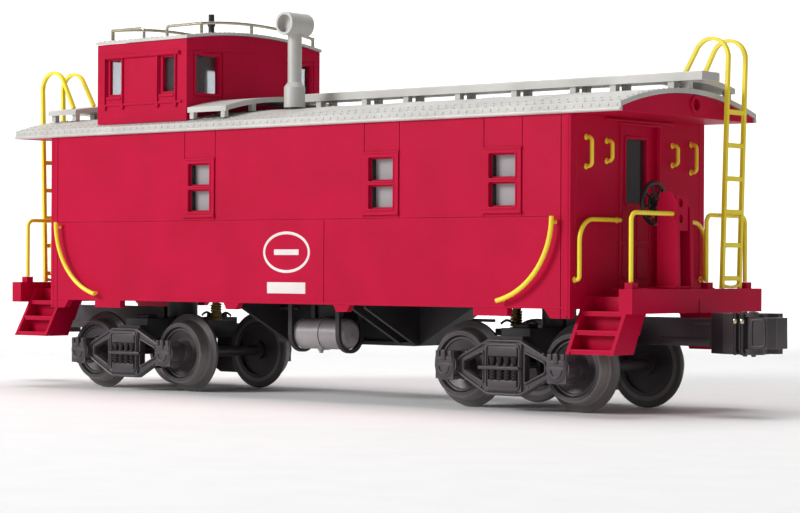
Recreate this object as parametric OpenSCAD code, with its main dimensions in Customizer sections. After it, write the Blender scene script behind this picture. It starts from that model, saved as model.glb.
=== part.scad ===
// Cupola caboose, O gauge model: body, roof, cupola, end platforms and two swivelling trucks.
// X runs along the car, Y across it, Z up. The floor the wheels stand on is Z = 0.

/* [Car body] */
// Length of the body between its end walls
body_len = 189; // [160:1:230]
// Width of the body over its side walls
body_w = 59.5; // [56:0.5:72]
// Height of the side sill above the floor
sill_z = 26.1; // [25.6:0.1:30]
// Height of the eaves above the sill
eave_rise = 47.7; // [44:0.1:58]
// Height of the belt seam above the sill
belt_rise = 22.5; // [18:0.5:23]
// Thickness of the body walls
wall_t = 2; // [1.4:0.1:2.6]
// Depth of the drops that hang below the sill
drop_h = 2.3; // [1:0.1:2.6]
// Thickness of the floor
floor_t = 1.5; // [1:0.1:2.5]

/* [Side windows] */
// Height of the window frames
win_frame_h = 15.5; // [14:0.1:17]
// Width of the window frames
win_frame_w = 12; // [10.5:0.1:14]
// Width of the panes
pane_w = 7.5; // [5:0.1:8]
// Height of each of the two panes
pane_h = 5.4; // [4:0.1:6]
// Thickness of all the glazing
glass_t = 0.8; // [0.5:0.1:1.2]

/* [End doors] */
// Width of the recessed door
door_w = 16; // [14:0.1:18]
// Height of the door above the platform deck
door_h = 41; // [36:0.5:42]
// Width of the door window
door_win_w = 8.7; // [6:0.1:11]
// Height of the door window
door_win_h = 16.1; // [12:0.1:18]

/* [Main roof] */
// Overhang of the roof past each end wall
roof_over = 15.3; // [14:0.1:20]
// Overhang of the eaves past each side wall
eave_over = 0.75; // [0.6:0.05:1.5]
// Height of the upright eave edge
fascia_h = 2.3; // [1.8:0.1:3]
// Rise of the roof arch above the eave edge
roof_rise = 4.7; // [3.5:0.1:7]
// Thickness of the roof sheet
roof_t = 1.2; // [0.8:0.1:1.5]

/* [Cupola] */
// Distance of the cupola centre from the middle of the car
cupola_x = 58.4; // [50:0.1:64]
// Length of the cupola
cupola_len = 36.7; // [34:0.1:40]
// Width of the cupola
cupola_w = 55.6; // [50:0.1:56]
// Height of the cupola eave above the main roof's eave edge
cupola_rise = 24.9; // [23:0.1:30]
// Rise of the cupola roof arch
cupola_arch = 2.4; // [1.6:0.1:4]
// Thickness of the cupola walls
cupola_t = 1.6; // [1.2:0.1:2.2]
// Width of the cupola's side panes
cupola_pane_w = 5.4; // [4:0.1:7]
// Height of the cupola's panes
cupola_pane_h = 9.8; // [8:0.1:11]

/* [Roof walks] */
// Height of the centre walk above the roof's crown
walk_rise = 3.8; // [3:0.1:5]
// Width of the centre walk
walk_w = 8; // [6:0.1:10]
// Thickness of the centre walk
walk_t = 2; // [1:0.1:2.2]
// Length of the centre walk past the roof's end
walk_over = 5.7; // [2:0.1:7]
// Thickness of the cross walks
cross_t = 1.4; // [1:0.1:1.8]

/* [Smoke jack] */
// Outer diameter of the smoke pipe
jack_d = 3.9; // [3:0.1:5]
// Height of the smoke jack above the roof
jack_h = 26.3; // [20:0.1:30]
// Length of the cross head
jack_head_len = 9; // [7:0.5:14]

/* [End platforms] */
// Length of the platform deck from the end wall to the end beam
deck_len = 14.1; // [13:0.1:17]
// Half width of the deck between the steps
deck_half = 15.4; // [14:0.1:16.5]
// Height of the deck's top above the sill
deck_rise = 5; // [4:0.1:6]
// Thickness of the end beam
beam_t = 3.8; // [3:0.1:5]
// Height of the end beam
beam_h = 5.9; // [5:0.1:6.4]
// Diameter of the railing bars
rail_d = 1.1; // [0.8:0.1:1.4]
// Height of the railings above the deck
rail_h = 18.5; // [15:0.5:20]
// Diameter of the brake wheel
brake_wheel_d = 11.4; // [9:0.1:13]
// Height of the brake wheel's axis above the deck
brake_wheel_rise = 21.3; // [18:0.1:22]

/* [Ladders] */
// Width of a ladder over its side bars
ladder_w = 9.2; // [8:0.1:10]
// Spacing of the rungs
rung_pitch = 8.4; // [7:0.1:9]
// Width of the side bars
ladder_bar = 1.1; // [0.9:0.1:1.4]

/* [Trucks] */
// Distance of each truck centre from the middle of the car
truck_x = 69.5; // [60:0.5:72]
// Distance between the axles of a truck
wheelbase = 35.6; // [34:0.1:40]
// Diameter of the wheel treads
tread_d = 18.3; // [16:0.1:18.5]
// Depth of the wheel flanges
flange_h = 2.1; // [1.4:0.1:2.2]
// Distance between the backs of the two wheels on an axle
back_to_back = 27.3; // [26:0.1:27.5]
// Width of a wheel with its flange
wheel_w = 5.2; // [4.6:0.1:6]
// Diameter of the axles
axle_d = 3; // [2:0.1:3.6]
// Radial clearance of pins and axles in their holes
fit_gap = 0.08; // [0.05:0.01:0.1]
// Clearance between seated pieces
seat_gap = 0.06; // [0.02:0.01:0.1]
// Clearance under arched sheets that lie on other pieces
arch_gap = 0.15; // [0.1:0.01:0.3]

/* [Couplers] */
// Distance of the knuckle pin from the truck centre
knuckle_x = 61; // [58:0.5:66]
// Height of the coupler head
coupler_h = 9.9; // [8:0.1:10.2]
// Height of the coupler's middle above the floor
coupler_z = 20.4; // [19.5:0.1:20.6]
// Diameter of the knuckle pin
knuckle_pin_d = 1.6; // [1.2:0.1:2]

/* [Air tank] */
// Diameter of the air tank
tank_d = 8.4; // [6:0.1:9]
// Length of the air tank
tank_len = 19.4; // [16:0.1:24]

/* [Hidden] */
$fn = 64;

RED = [0.74, 0.11, 0.24];
SILVER = [0.85, 0.85, 0.83];
YELLOW = [0.94, 0.85, 0.2];
BLACK = [0.2, 0.19, 0.2];
STEEL = [0.36, 0.34, 0.35];
NICKEL = [0.75, 0.72, 0.62];
BRASS = [0.72, 0.6, 0.35];
FROSTED = [0.8, 0.82, 0.85];
CLEAR = [0.8, 0.86, 0.9];
BIG = 400;

// Heights and half sizes that many pieces share
half_len = body_len / 2;
half_w = body_w / 2;
belt_z = sill_z + belt_rise;
eave_z = sill_z + eave_rise;
roof_edge_z = eave_z + fascia_h;
roof_half = half_w + eave_over;
roof_end_x = half_len + roof_over;
roof_r = (roof_half * roof_half + roof_rise * roof_rise) / (2 * roof_rise);
roof_crown_z = roof_edge_z + roof_rise;
roof_axis_z = roof_crown_z - roof_r;
floor_z = sill_z + 0.2;
deck_z = sill_z + deck_rise;
beam_x = half_len + deck_len;
beam_face_x = beam_x + beam_t;
beam_half = half_w - 0.5;

// Height of the roof's top, or of a skin that lies off below it, at a place across the car
function roof_z(y, off = 0) = roof_axis_z + sqrt(pow(roof_r - off, 2) - y * y);

function unit(v) = v / norm(v);
// A direction square to v
function square_to(v) = unit(cross(v, abs(v.z) < 0.9 * norm(v) ? [0, 0, 1] : [1, 0, 0]));

// Places children with their X and Z axes along the given directions
module in_frame(origin, x_dir, z_dir) {
  y_dir = cross(z_dir, x_dir);
  multmatrix([
    [x_dir.x, y_dir.x, z_dir.x, origin.x],
    [x_dir.y, y_dir.y, z_dir.y, origin.y],
    [x_dir.z, y_dir.z, z_dir.z, origin.z],
    [0, 0, 0, 1]
  ]) children();
}

// A straight round bar between two points
module bar(a, b, r) in_frame(a, square_to(b - a), unit(b - a)) cylinder(r = r, h = norm(b - a), $fn = 24);

// A round bar along a line of points, bent to the radius bends[i] at each inner corner; lap is how far a
// straight stretch runs on into the bend beside it
module bent_bar(points, bends, r, lap = 0) {
  n = len(points);
  dirs = [for (i = [0 : n - 2]) unit(points[i + 1] - points[i])];
  turns = [for (i = [0 : n - 1]) i == 0 || i == n - 1 ? 0 : acos(dirs[i - 1] * dirs[i])];
  cuts = [for (i = [0 : n - 1]) i == 0 || i == n - 1 ? 0 : bends[i - 1] * tan(turns[i] / 2)];
  for (i = [0 : n - 2]) bar(points[i] + (cuts[i] - (i > 0 ? lap : 0)) * dirs[i],
    points[i + 1] - (cuts[i + 1] - (i < n - 2 ? lap : 0)) * dirs[i], r);
  for (i = [1 : n - 2]) {
    start = points[i] - cuts[i] * dirs[i - 1];
    centre = points[i] + unit(dirs[i] - dirs[i - 1]) * bends[i - 1] / cos(turns[i] / 2);
    in_frame(centre, unit(start - centre), unit(cross(dirs[i - 1], dirs[i])))
      rotate_extrude(angle = turns[i], $fn = 48) translate([bends[i - 1], 0]) circle(r = r, $fn = 24);
  }
}

// Carries a flat shape drawn across the car (Y, Z) along X, between two places
module along_x(x0, x1) translate([x0, 0, 0]) rotate([90, 0, 90]) linear_extrude(x1 - x0) children();

// Carries a flat shape drawn along the car (X, Z) across Y, between two places
module along_y(y0, y1) translate([0, y1, 0]) rotate([90, 0, 0]) linear_extrude(y1 - y0) children();

// A box from its lowest to its highest corner
module block(low, high) translate(low) cube(high - low);

// The piece as drawn for the +X end, or turned round for the -X end
module at_end(end) rotate([0, 0, end == "rear" ? 180 : 0]) children();

// Everything under a skin that lies off below the roof's top, within a half width and above a height
module under_roof(off, half, low) intersection() {
  translate([0, roof_axis_z]) circle(r = roof_r - off, $fn = 360);
  translate([-half, low]) square([2 * half, BIG]);
}

// ---- Car body ----

frame_proud = 0.4;
window_xs = [-32.65, 34.05, 73.8];
win_frame_z = belt_z + 1.6;
sash_gap = 1.8;
win_margin = (win_frame_h - 2 * pane_h - sash_gap) / 2;
door_deep = 1.2;
door_sill_z = deck_z + 0.4;
door_win_z = deck_z + 21.5;
seam = 0.3;
seam_deep = 0.25;

// The two panes of a side window, grown by a margin and cut through a span across the wall
module window_panes(x, grow, y0, y1) {
  for (row = [0, 1]) {
    z = win_frame_z + win_margin + row * (pane_h + sash_gap);
    block([x - pane_w / 2 - grow, y0, z - grow], [x + pane_w / 2 + grow, y1, z + pane_h + grow]);
  }
}

// The outline, seen from the side, of all that hangs below the sill
module sill_drops() {
  root = sill_z + 1;
  low = sill_z - drop_h;
  for (s = [-1, 1]) {
    translate([s * (truck_x + 0.5) - 5.35, sill_z - drop_h + 0.3]) square([10.7, root - low]);
    translate([s * 20.3, 0]) polygon([[-2.9, root], [-2.9, sill_z], [-1.8, low + 0.5], [1.8, low + 0.5],
      [2.9, sill_z], [2.9, root]]);
    polygon([[s * half_len, root], [s * half_len, low], [s * (half_len - 5.9), low],
      [s * (half_len - 7.8), sill_z], [s * (half_len - 7.8), root]]);
  }
}

// Narrow grooves where the side sheets meet, as cut into the wall at y = -half_w
module side_seams() {
  y0 = -half_w - 1;
  y1 = -half_w + seam_deep;
  block([-half_len + 3, y0, belt_z], [half_len - 3, y1, belt_z + seam]);
  block([14 - seam / 2, y0, sill_z - 1], [14 + seam / 2, y1, belt_z]);
  for (x = window_xs, s = [-1, 1]) {
    edge = x + s * win_frame_w / 2;
    block([edge - seam / 2, y0, belt_z], [edge + seam / 2, y1, eave_z + 0.5]);
  }
  for (s = [-1, 1], inset = [0.8, 2.8]) {
    x = s * (half_len - inset);
    block([x - seam / 2, y0, sill_z - 3], [x + seam / 2, y1, eave_z]);
  }
}

module body_shell() color(RED) difference() {
  union() {
    along_x(-half_len, half_len) under_roof(roof_t + arch_gap, half_w, sill_z);
    for (s = [-1, 1]) {
      along_y(min(s * half_w, s * (half_w - wall_t)), max(s * half_w, s * (half_w - wall_t))) sill_drops();
      for (x = window_xs)
        translate([x, s * half_w, win_frame_z + win_frame_h / 2])
          cube([win_frame_w, 2 * frame_proud, win_frame_h], center = true);
    }
  }
  block([-half_len + wall_t, -half_w + wall_t, sill_z - 1], [half_len - wall_t, half_w - wall_t, BIG]);
  for (x = window_xs) {
    window_panes(x, 0, -half_w - 1, half_w + 1);
    for (s = [0, 1]) rotate([0, 0, 180 * s]) window_panes(s == 0 ? x : -x, 0.5, -half_w - 1, -half_w + 0.5);
  }
  for (end = ["front", "rear"]) at_end(end) {
    block([half_len - door_deep, -door_w / 2, door_sill_z], [half_len + 1, door_w / 2, deck_z + door_h]);
    block([half_len - wall_t - 1, -door_win_w / 2, door_win_z],
      [half_len + 1, door_win_w / 2, door_win_z + door_win_h]);
  }
  side_seams();
  mirror([0, 1, 0]) side_seams();
}

module side_glazing() color(FROSTED) for (s = [-1, 1], x = window_xs) {
  face = half_w - wall_t - seat_gap;
  y0 = s > 0 ? face - glass_t : -face;
  block([x - pane_w / 2 - 1.5, y0, win_frame_z + win_margin - 1.5],
    [x + pane_w / 2 + 1.5, y0 + glass_t, win_frame_z + win_frame_h - win_margin + 1.5]);
}

module door_glazing() color(CLEAR) for (end = ["front", "rear"]) at_end(end) {
  face = half_len - wall_t - seat_gap;
  block([face - glass_t, -door_win_w / 2 - 1.2, door_win_z - 1.2],
    [face, door_win_w / 2 + 1.2, door_win_z + door_win_h + 1.2]);
}

// ---- Main roof ----

cupola_x0 = -cupola_x - cupola_len / 2;
cupola_x1 = -cupola_x + cupola_len / 2;

module main_roof() color(SILVER) difference() {
  along_x(-roof_end_x, roof_end_x) difference() {
    under_roof(0, roof_half, eave_z);
    under_roof(roof_t, half_w + seat_gap, eave_z - 1);
  }
  block([cupola_x0 + cupola_t, -cupola_w / 2 + cupola_t, eave_z - 5],
    [cupola_x1 - cupola_t, cupola_w / 2 - cupola_t, BIG]);
}

marker_r = 1.5;
marker_y = 2.7;
marker_z = eave_z + 3.2;

module roof_end_panels() color(RED) for (end = ["front", "rear"]) at_end(end) difference() {
  panel_x = roof_end_x - 0.5;
  union() {
    along_x(panel_x - 1.3, panel_x) under_roof(roof_t + arch_gap, half_w, eave_z);
    block([half_len + seat_gap, -half_w, eave_z], [panel_x, half_w, eave_z + 0.8]);
    translate([panel_x - 0.5, marker_y, marker_z]) rotate([0, 90, 0]) cylinder(r = marker_r + 0.8, h = 0.9);
  }
  translate([panel_x - 1, marker_y, marker_z]) rotate([0, 90, 0]) cylinder(r = marker_r, h = 3);
}

// ---- Cupola ----

cupola_half = cupola_w / 2;
cupola_eave_z = roof_edge_z + cupola_rise;
cupola_sheet = 0.8;
cupola_roof_half = cupola_half + 0.4;
cupola_r = (cupola_roof_half * cupola_roof_half + cupola_arch * cupola_arch) / (2 * cupola_arch);
cupola_axis_z = cupola_eave_z + cupola_arch - cupola_r;
cupola_pane_z = cupola_eave_z - 15.4;
cupola_end_pane_w = 8.8;
cupola_end_pane_y = 19.3;
cupola_pane_shift = 10.9;

function cupola_z(y, off = 0) = cupola_axis_z + sqrt(pow(cupola_r - off, 2) - y * y);

module under_cupola_roof(off, half, low) intersection() {
  translate([0, cupola_axis_z]) circle(r = cupola_r - off, $fn = 360);
  translate([-half, low]) square([2 * half, BIG]);
}

// A shallow sunk panel in the cupola's side wall at y = -cupola_half
module side_recess(x0, x1, z0, z1, deep) block([x0, -cupola_half - 1, z0], [x1, -cupola_half + deep, z1]);

module cupola_side_cuts() {
  pane_z1 = cupola_pane_z + cupola_pane_h;
  for (s = [-1, 1]) {
    x = -cupola_x + s * cupola_pane_shift;
    x0 = x - cupola_pane_w / 2;
    x1 = x + cupola_pane_w / 2;
    side_recess(x0, x1, cupola_pane_z, pane_z1, cupola_t + 1);
    side_recess(x0 - 1.9, x1 + 0.6, cupola_pane_z - 0.6, pane_z1 + 0.4, 0.5);
  }
}

module cupola_end_cuts() for (s = [-1, 1]) {
  y = s * cupola_end_pane_y;
  hw = cupola_end_pane_w / 2;
  z1 = cupola_pane_z + cupola_pane_h;
  block([cupola_x1 - cupola_t - 1, y - hw, cupola_pane_z - 0.4], [cupola_x1 + 1, y + hw, z1 + 0.3]);
  block([cupola_x1 - 0.3, y - hw - 1.6, cupola_pane_z - 1.8], [cupola_x1 + 1, y + hw + 1.6, z1 + 1.8]);
}

module cupola_shell() color(RED) difference() {
  union() {
    difference() {
      along_x(cupola_x0, cupola_x1) under_cupola_roof(cupola_sheet + arch_gap, cupola_half, eave_z);
      translate([-cupola_x - cupola_len, 0, roof_axis_z]) rotate([0, 90, 0])
        cylinder(r = roof_r + arch_gap, h = 2 * cupola_len, $fn = 360);
    }
    for (s = [-1, 1]) {
      translate([-cupola_x, s * cupola_half, cupola_pane_z + cupola_pane_h + 1])
        cube([cupola_len - 5, 1.4, 0.9], center = true);
      translate([-cupola_x, s * cupola_half, cupola_pane_z - 3.1])
        cube([cupola_len - 3.6, 0.6, 0.6], center = true);
    }
  }
  block([cupola_x0 + cupola_t, -cupola_half + cupola_t, eave_z - 5],
    [cupola_x1 - cupola_t, cupola_half - cupola_t, BIG]);
  cupola_side_cuts();
  mirror([0, 1, 0]) cupola_side_cuts();
  cupola_end_cuts();
  translate([-2 * cupola_x, 0, 0]) mirror([1, 0, 0]) cupola_end_cuts();
}

module cupola_roof() color(SILVER) along_x(cupola_x0 - 0.4, cupola_x1 + 0.4) difference() {
  under_cupola_roof(0, cupola_roof_half, cupola_eave_z - 1.5);
  under_cupola_roof(cupola_sheet, cupola_roof_half + 1, cupola_eave_z - 5);
}

module cupola_glazing() color(CLEAR) {
  z0 = cupola_pane_z - 1.2;
  z1 = cupola_pane_z + cupola_pane_h + 1.2;
  side_face = cupola_half - cupola_t - seat_gap;
  end_face = cupola_len / 2 - cupola_t - seat_gap;
  for (s = [-1, 1], e = [-1, 1]) {
    x = -cupola_x + e * cupola_pane_shift;
    y0 = s > 0 ? side_face - glass_t : -side_face;
    block([x - cupola_pane_w / 2 - 1, y0, z0], [x + cupola_pane_w / 2 + 1, y0 + glass_t, z1]);
    x0 = -cupola_x + (e > 0 ? end_face - glass_t : -end_face);
    y = s * cupola_end_pane_y;
    block([x0, y - cupola_end_pane_w / 2 - 1, z0], [x0 + glass_t, y + cupola_end_pane_w / 2 + 1, z1]);
  }
}

// ---- On the cupola's roof ----

wire_r = 0.42;
rail_rise = 2.9;
rail_half = cupola_half - 1;

// One hand rail: a run along the near edge, then over the roof's arch to the far side
module cupola_rail(x_start, x_corner, y_near) {
  arch_r = cupola_r + rail_rise;
  near_a = asin(y_near / arch_r);
  far_a = asin(rail_half / arch_r);
  near_z = cupola_axis_z + arch_r * cos(near_a);
  far_z = cupola_axis_z + arch_r * cos(far_a);
  bent_bar([[x_start, y_near, cupola_z(y_near) + seat_gap], [x_start, y_near, near_z],
    [x_corner, y_near, near_z]], [0.9], wire_r, 0.01);
  in_frame([x_corner, 0, cupola_axis_z], [0, sin(near_a), cos(near_a)], [-1, 0, 0])
    rotate_extrude(angle = far_a - near_a, $fn = 720) translate([arch_r, 0]) circle(r = wire_r, $fn = 24);
  for (joint = [[y_near, near_z], [rail_half, far_z]])
    translate([x_corner, joint[0], joint[1]]) sphere(r = wire_r + 0.15, $fn = 24);
  for (y = [y_near, (y_near + rail_half) / 2 - 3, rail_half]) {
    top_z = cupola_axis_z + sqrt(arch_r * arch_r - y * y);
    bar([x_corner, y, cupola_z(abs(y) - 0.5) + seat_gap], [x_corner, y, top_z], 0.5);
  }
}

module cupola_rails() color(NICKEL) {
  cupola_rail(cupola_x1 - 16, cupola_x1 - 2, -20);
  cupola_rail(cupola_x0 + 14.3, cupola_x0 + 1.2, -23);
}

post_x = cupola_x1 - 6;
post_y = -12;
post_r = 0.85;

module cupola_post() color(BLACK) translate([post_x, post_y, cupola_z(post_y + post_r) + seat_gap]) {
  cylinder(r = post_r, h = 5.4);
  translate([0, 0, 2]) cylinder(r = 1.1, h = 0.7);
}

// ---- Walks on the main roof ----

walk_top_z = roof_crown_z + walk_rise;
walk_low_z = walk_top_z - walk_t;
cross_off = walk_rise - 0.2;

// A curved board across the roof between two places along X and two across Y
module cross_board(x0, x1, y0, y1) along_x(x0, x1) intersection() {
  difference() {
    translate([0, roof_axis_z]) circle(r = roof_r + cross_off, $fn = 360);
    translate([0, roof_axis_z]) circle(r = roof_r + cross_off - cross_t, $fn = 360);
  }
  translate([y0, roof_edge_z - 5]) square([y1 - y0, 40]);
}

// An upright foot from the roof to a height
module foot(x, y, top_z, size) block([x - size / 2, y - size / 2, roof_z(abs(y) - size / 2) + seat_gap],
  [x + size / 2, y + size / 2, top_z]);

// Brackets under the centre walk, one pair of feet at each place
module walk_feet(places) for (x = places) {
  for (s = [-1, 1]) foot(x, s * 2.6, walk_low_z + 0.2, 1.8);
}

front_ladder_y = 16.6;
rear_ladder_y = 13.4;
landing_x0 = roof_end_x - 13;
landing_x1 = roof_end_x - 0.8;

// Centre walk, ladder landing and their feet, as on the +X end
module end_walk(x_start, feet, ladder_y) {
  landing_y1 = ladder_y + ladder_w / 2 + 0.4;
  block([x_start, -walk_w / 2, walk_low_z], [roof_end_x + walk_over, walk_w / 2, walk_top_z]);
  walk_feet(feet);
  foot(roof_end_x - 1.2, 0, walk_low_z + 0.2, 2);
  cross_board(landing_x0, landing_x1, walk_w / 2 - 1, landing_y1);
  for (x = [landing_x0 + 1.5, landing_x1 - 1.5])
    foot(x, landing_y1 - 1.6, roof_z(landing_y1 - 1.6) + cross_off - 1, 1.6);
}

// The front walk meets the cross walk beside the cupola
front_walk_x0 = cupola_x1 + 0.5 + 15;
module roof_walk_front() color(SILVER)
  end_walk(front_walk_x0 + seat_gap, [for (x = [-12, 5, 20, 38, 57, 76, 88.5, 106]) x * roof_end_x / 109.8],
    front_ladder_y);

module roof_walk_rear() color(SILVER) at_end("rear")
  end_walk(-cupola_x0 + 0.5, [-cupola_x0 + 5, -cupola_x0 + 20], rear_ladder_y);

module cupola_cross_walk() color(SILVER) {
  x0 = cupola_x1 + 0.5;
  x1 = front_walk_x0;
  edge = half_w - 1.9;
  cross_board(x0, x1, -edge, edge);
  for (x = [x0 + 1.4, x1 - 1.4], s = [-1, 1], y = [edge - 1, edge - 12])
    foot(x, s * y, roof_z(y) + cross_off - 1, 1.5);
}

// ---- Smoke jack ----

jack_x = -12.4;
jack_y = -13;
jack_base_d = jack_d + 2;
jack_base_h = 7;
jack_head_d = jack_d + 2.5;

module smoke_jack() color(SILVER) {
  z0 = roof_z(abs(jack_y) - jack_base_d / 2) + seat_gap;
  head_z = z0 + jack_h - jack_head_d / 2;
  translate([jack_x, jack_y, 0]) difference() {
    union() {
      translate([0, 0, z0]) rotate_extrude() polygon([[0, 0], [jack_base_d / 2, 0],
        [jack_base_d / 2, jack_base_h - 1.4], [jack_d / 2, jack_base_h], [jack_d / 2, jack_h - jack_head_d / 2],
        [0, jack_h - jack_head_d / 2]]);
      translate([0, -jack_head_len / 2, head_z]) rotate([-90, 0, 0])
        cylinder(d = jack_head_d, h = jack_head_len);
    }
    for (s = [0, 1]) rotate([0, 0, 180 * s]) translate([0, jack_d / 2 + 0.4, head_z]) rotate([-90, 0, 0])
      cylinder(d = jack_head_d - 1.4, h = jack_head_len);
  }
}

// ---- Underframe ----

belly_half = 3.5;
belly_low = 14.8;
belly_flat = 25;
belly_end = 46;

module underframe() color(BLACK) {
  block([-half_len + wall_t + seat_gap, -half_w + wall_t + seat_gap, floor_z],
    [half_len - wall_t - seat_gap, half_w - wall_t - seat_gap, floor_z + floor_t]);
  along_y(-belly_half, belly_half) polygon([[-belly_end, floor_z + 0.5], [-belly_flat, belly_low],
    [belly_flat, belly_low], [belly_end, floor_z + 0.5]]);
  block([-belly_flat, -belly_half - 2, belly_low], [belly_flat, belly_half + 2, belly_low + 1]);
  for (s = [-1, 1], x = [-22, 19.5, 24.5]) {
    along_x(x, x + 1) polygon([[s * belly_half, belly_low + 0.5], [s * (belly_half + 2), belly_low + 0.5],
      [s * (half_w - 4), floor_z - 1], [s * (half_w - 4), floor_z + 0.5], [s * belly_half, floor_z + 0.5]]);
  }
}

pivot_r = 1.6;
bolster_low_z = 14.9;
pivot_head_h = 1.3;

module kingpins() color(BRASS) for (s = [-1, 1]) translate([s * truck_x, 0, 0]) {
  translate([0, 0, bolster_low_z - 0.2 - pivot_head_h]) cylinder(r = pivot_r + 1.3, h = pivot_head_h);
  translate([0, 0, bolster_low_z - 0.2 - pivot_head_h])
    cylinder(r = pivot_r, h = floor_z - seat_gap - bolster_low_z + 0.2 + pivot_head_h);
}

tank_x = 0.7;
tank_y = -14;
tank_z = sill_z - 8.3;
tank_r = tank_d / 2;

module air_tank() color(STEEL) translate([tank_x - tank_len / 2, tank_y, tank_z]) rotate([0, 90, 0])
  rotate_extrude() polygon([[0, 0], [tank_r - 1.2, 0.3], [tank_r - 0.3, 1], [tank_r, 2],
    [tank_r, tank_len / 2 - 0.8],
    [tank_r + 0.25, tank_len / 2 - 0.8], [tank_r + 0.25, tank_len / 2 + 0.8], [tank_r, tank_len / 2 + 0.8],
    [tank_r, tank_len - 2], [tank_r - 0.3, tank_len - 1], [tank_r - 1.2, tank_len - 0.3], [0, tank_len]]);

strap_t = 0.9;
strap_w = 1.3;

module tank_straps() color(BLACK) for (s = [-1, 1]) {
  x = tank_x + s * (tank_len / 2 - 1);
  inner = tank_r + seat_gap;
  along_x(x - strap_w / 2, x + strap_w / 2) difference() {
    union() {
      translate([tank_y, tank_z]) circle(r = inner + strap_t);
      translate([tank_y - inner - strap_t, tank_z])
        square([2 * (inner + strap_t), floor_z - seat_gap - tank_z]);
    }
    translate([tank_y, tank_z]) circle(r = inner);
    translate([tank_y - inner, tank_z]) square([2 * inner, BIG]);
  }
}

module battery_box() color(STEEL)
  block([-9.5, -belly_half - 5.3, floor_z - 5.8], [2.5, -belly_half - seat_gap, floor_z - seat_gap]);

// ---- End platforms, as on the +X end ----

rail_r = rail_d / 2;
rail_x = beam_x + 1;
rail_y = beam_half - 3.6;
hoop_y0 = 7.5;
block_h = 1.6;

module platform() {
  block([half_len + seat_gap, -deck_half, deck_z - 3.4], [beam_x + 0.5, deck_half, deck_z]);
  difference() {
    block([beam_x, -beam_half, deck_z - beam_h], [beam_face_x, beam_half, deck_z]);
    block([beam_face_x - 0.3, -0.3, deck_z - beam_h - 1], [beam_face_x + 1, 0.3, deck_z - 2.6]);
  }
  for (y = [-rail_y, hoop_y0, rail_y])
    block([rail_x - 1, y - 1.2, deck_z - 0.5], [rail_x + 1.2, y + 1.2, deck_z + block_h]);
}

module platform_front() color(RED) platform();
module platform_rear() color(RED) at_end("rear") platform();

step_w = deck_len - 2 * seat_gap;
step_plate = 1;
step_low_z = sill_z - 10.8;
step_top_z = deck_z - 1.8;
step_lean = 7.7 / 14;
step_deep = 8.2;
step_top_y = deck_half + 0.3 + step_deep;
step_levels = [step_low_z + 1, step_low_z + 5.6, step_low_z + 10.2];

// Place of the steps' open front at a height
function step_front_y(z) = step_top_y + (step_top_z - z) * step_lean;

// One corner's steps, on the +Y side
module corner_steps() {
  x0 = half_len + seat_gap;
  side = [[step_front_y(step_low_z), step_low_z], [step_front_y(step_top_z), step_top_z],
    [step_top_y - step_deep, step_top_z], [step_front_y(step_low_z) - step_deep, step_low_z]];
  for (x = [x0, x0 + step_w - step_plate]) along_x(x, x + step_plate) polygon(side);
  for (i = [0 : 2]) {
    z = step_levels[i];
    y1 = step_front_y(z);
    rise = i < 2 ? step_levels[i + 1] : step_top_z;
    block([x0, y1 - step_deep, z - step_plate], [x0 + step_w, y1, z]);
    along_x(x0, x0 + step_w) polygon([[y1 - step_deep, z - step_plate],
      [y1 - step_deep + step_plate, z - step_plate], [step_front_y(rise) - step_deep + step_plate, rise],
      [step_front_y(rise) - step_deep, rise]]);
  }
}

module steps() for (s = [0, 1]) mirror([0, s, 0]) corner_steps();

module steps_front() color(RED) steps();
module steps_rear() color(RED) at_end("rear") steps();

// ---- Railings, grab irons and ladders ----

module railing() {
  foot_z = deck_z + block_h + seat_gap;
  top_z = deck_z + rail_h;
  stand_y = stand_y0 - seat_gap;
  bent_bar([[rail_x, -rail_y, foot_z], [rail_x, -rail_y, top_z], [rail_x, stand_y, top_z]], [2], rail_r);
  bent_bar([[rail_x, hoop_y0, foot_z], [rail_x, hoop_y0, top_z], [rail_x, rail_y, top_z],
    [rail_x, rail_y, foot_z]], [2, 2], rail_r);
}

module railing_front() color(YELLOW) railing();
module railing_rear() color(YELLOW) at_end("rear") railing();

grab_r = 0.5;
grab_out = 1.8;

module end_grab_irons() {
  wall = half_len + seat_gap;
  out = half_len + grab_out;
  for (s = [-1, 1]) {
    for (grab = [[23.3, 35.0, 42.2], [14.6, 36.6, 41.6]]) {
      y = s * grab[0];
      z0 = sill_z + grab[1];
      z1 = sill_z + grab[2];
      bent_bar([[wall, y, z0], [out, y, z0], [out, y, z1], [wall, y, z1]], [1.1, 1.1], grab_r);
    }
    bent_bar([[wall, s * 10.2, deck_z + 17], [half_len + 1.5, s * 10.2, deck_z + 17],
      [half_len + 1.5, s * 27.9, deck_z + 17], [half_len + 1.5, s * 27.9, deck_z + 2.2],
      [wall, s * 27.9, deck_z + 2.2]], [0.9, 5.5, 0.9], rail_r);
  }
}

module end_grab_irons_front() color(YELLOW) end_grab_irons();
module end_grab_irons_rear() color(YELLOW) at_end("rear") end_grab_irons();

side_grab_r = 21.3;
side_grab_out = 1.9;

// The long curved grab iron beside each set of steps
module side_grab_irons() color(YELLOW) for (sx = [0, 1], sy = [0, 1]) mirror([sx, 0, 0]) mirror([0, sy, 0]) {
  centre = [half_len - 25.5, -half_w - side_grab_out, belt_z + 0.2];
  sweep_a = 78;
  in_frame(centre, [cos(sweep_a), 0, -sin(sweep_a)], [0, -1, 0])
    rotate_extrude(angle = sweep_a, $fn = 96) translate([side_grab_r, 0]) circle(r = 0.6, $fn = 24);
  for (a = [4, sweep_a - 3]) {
    x = centre.x + side_grab_r * cos(a);
    z = centre.z - side_grab_r * sin(a);
    bar([x, centre.y, z], [x, -half_w - seat_gap, z], 0.45);
  }
}

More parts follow.
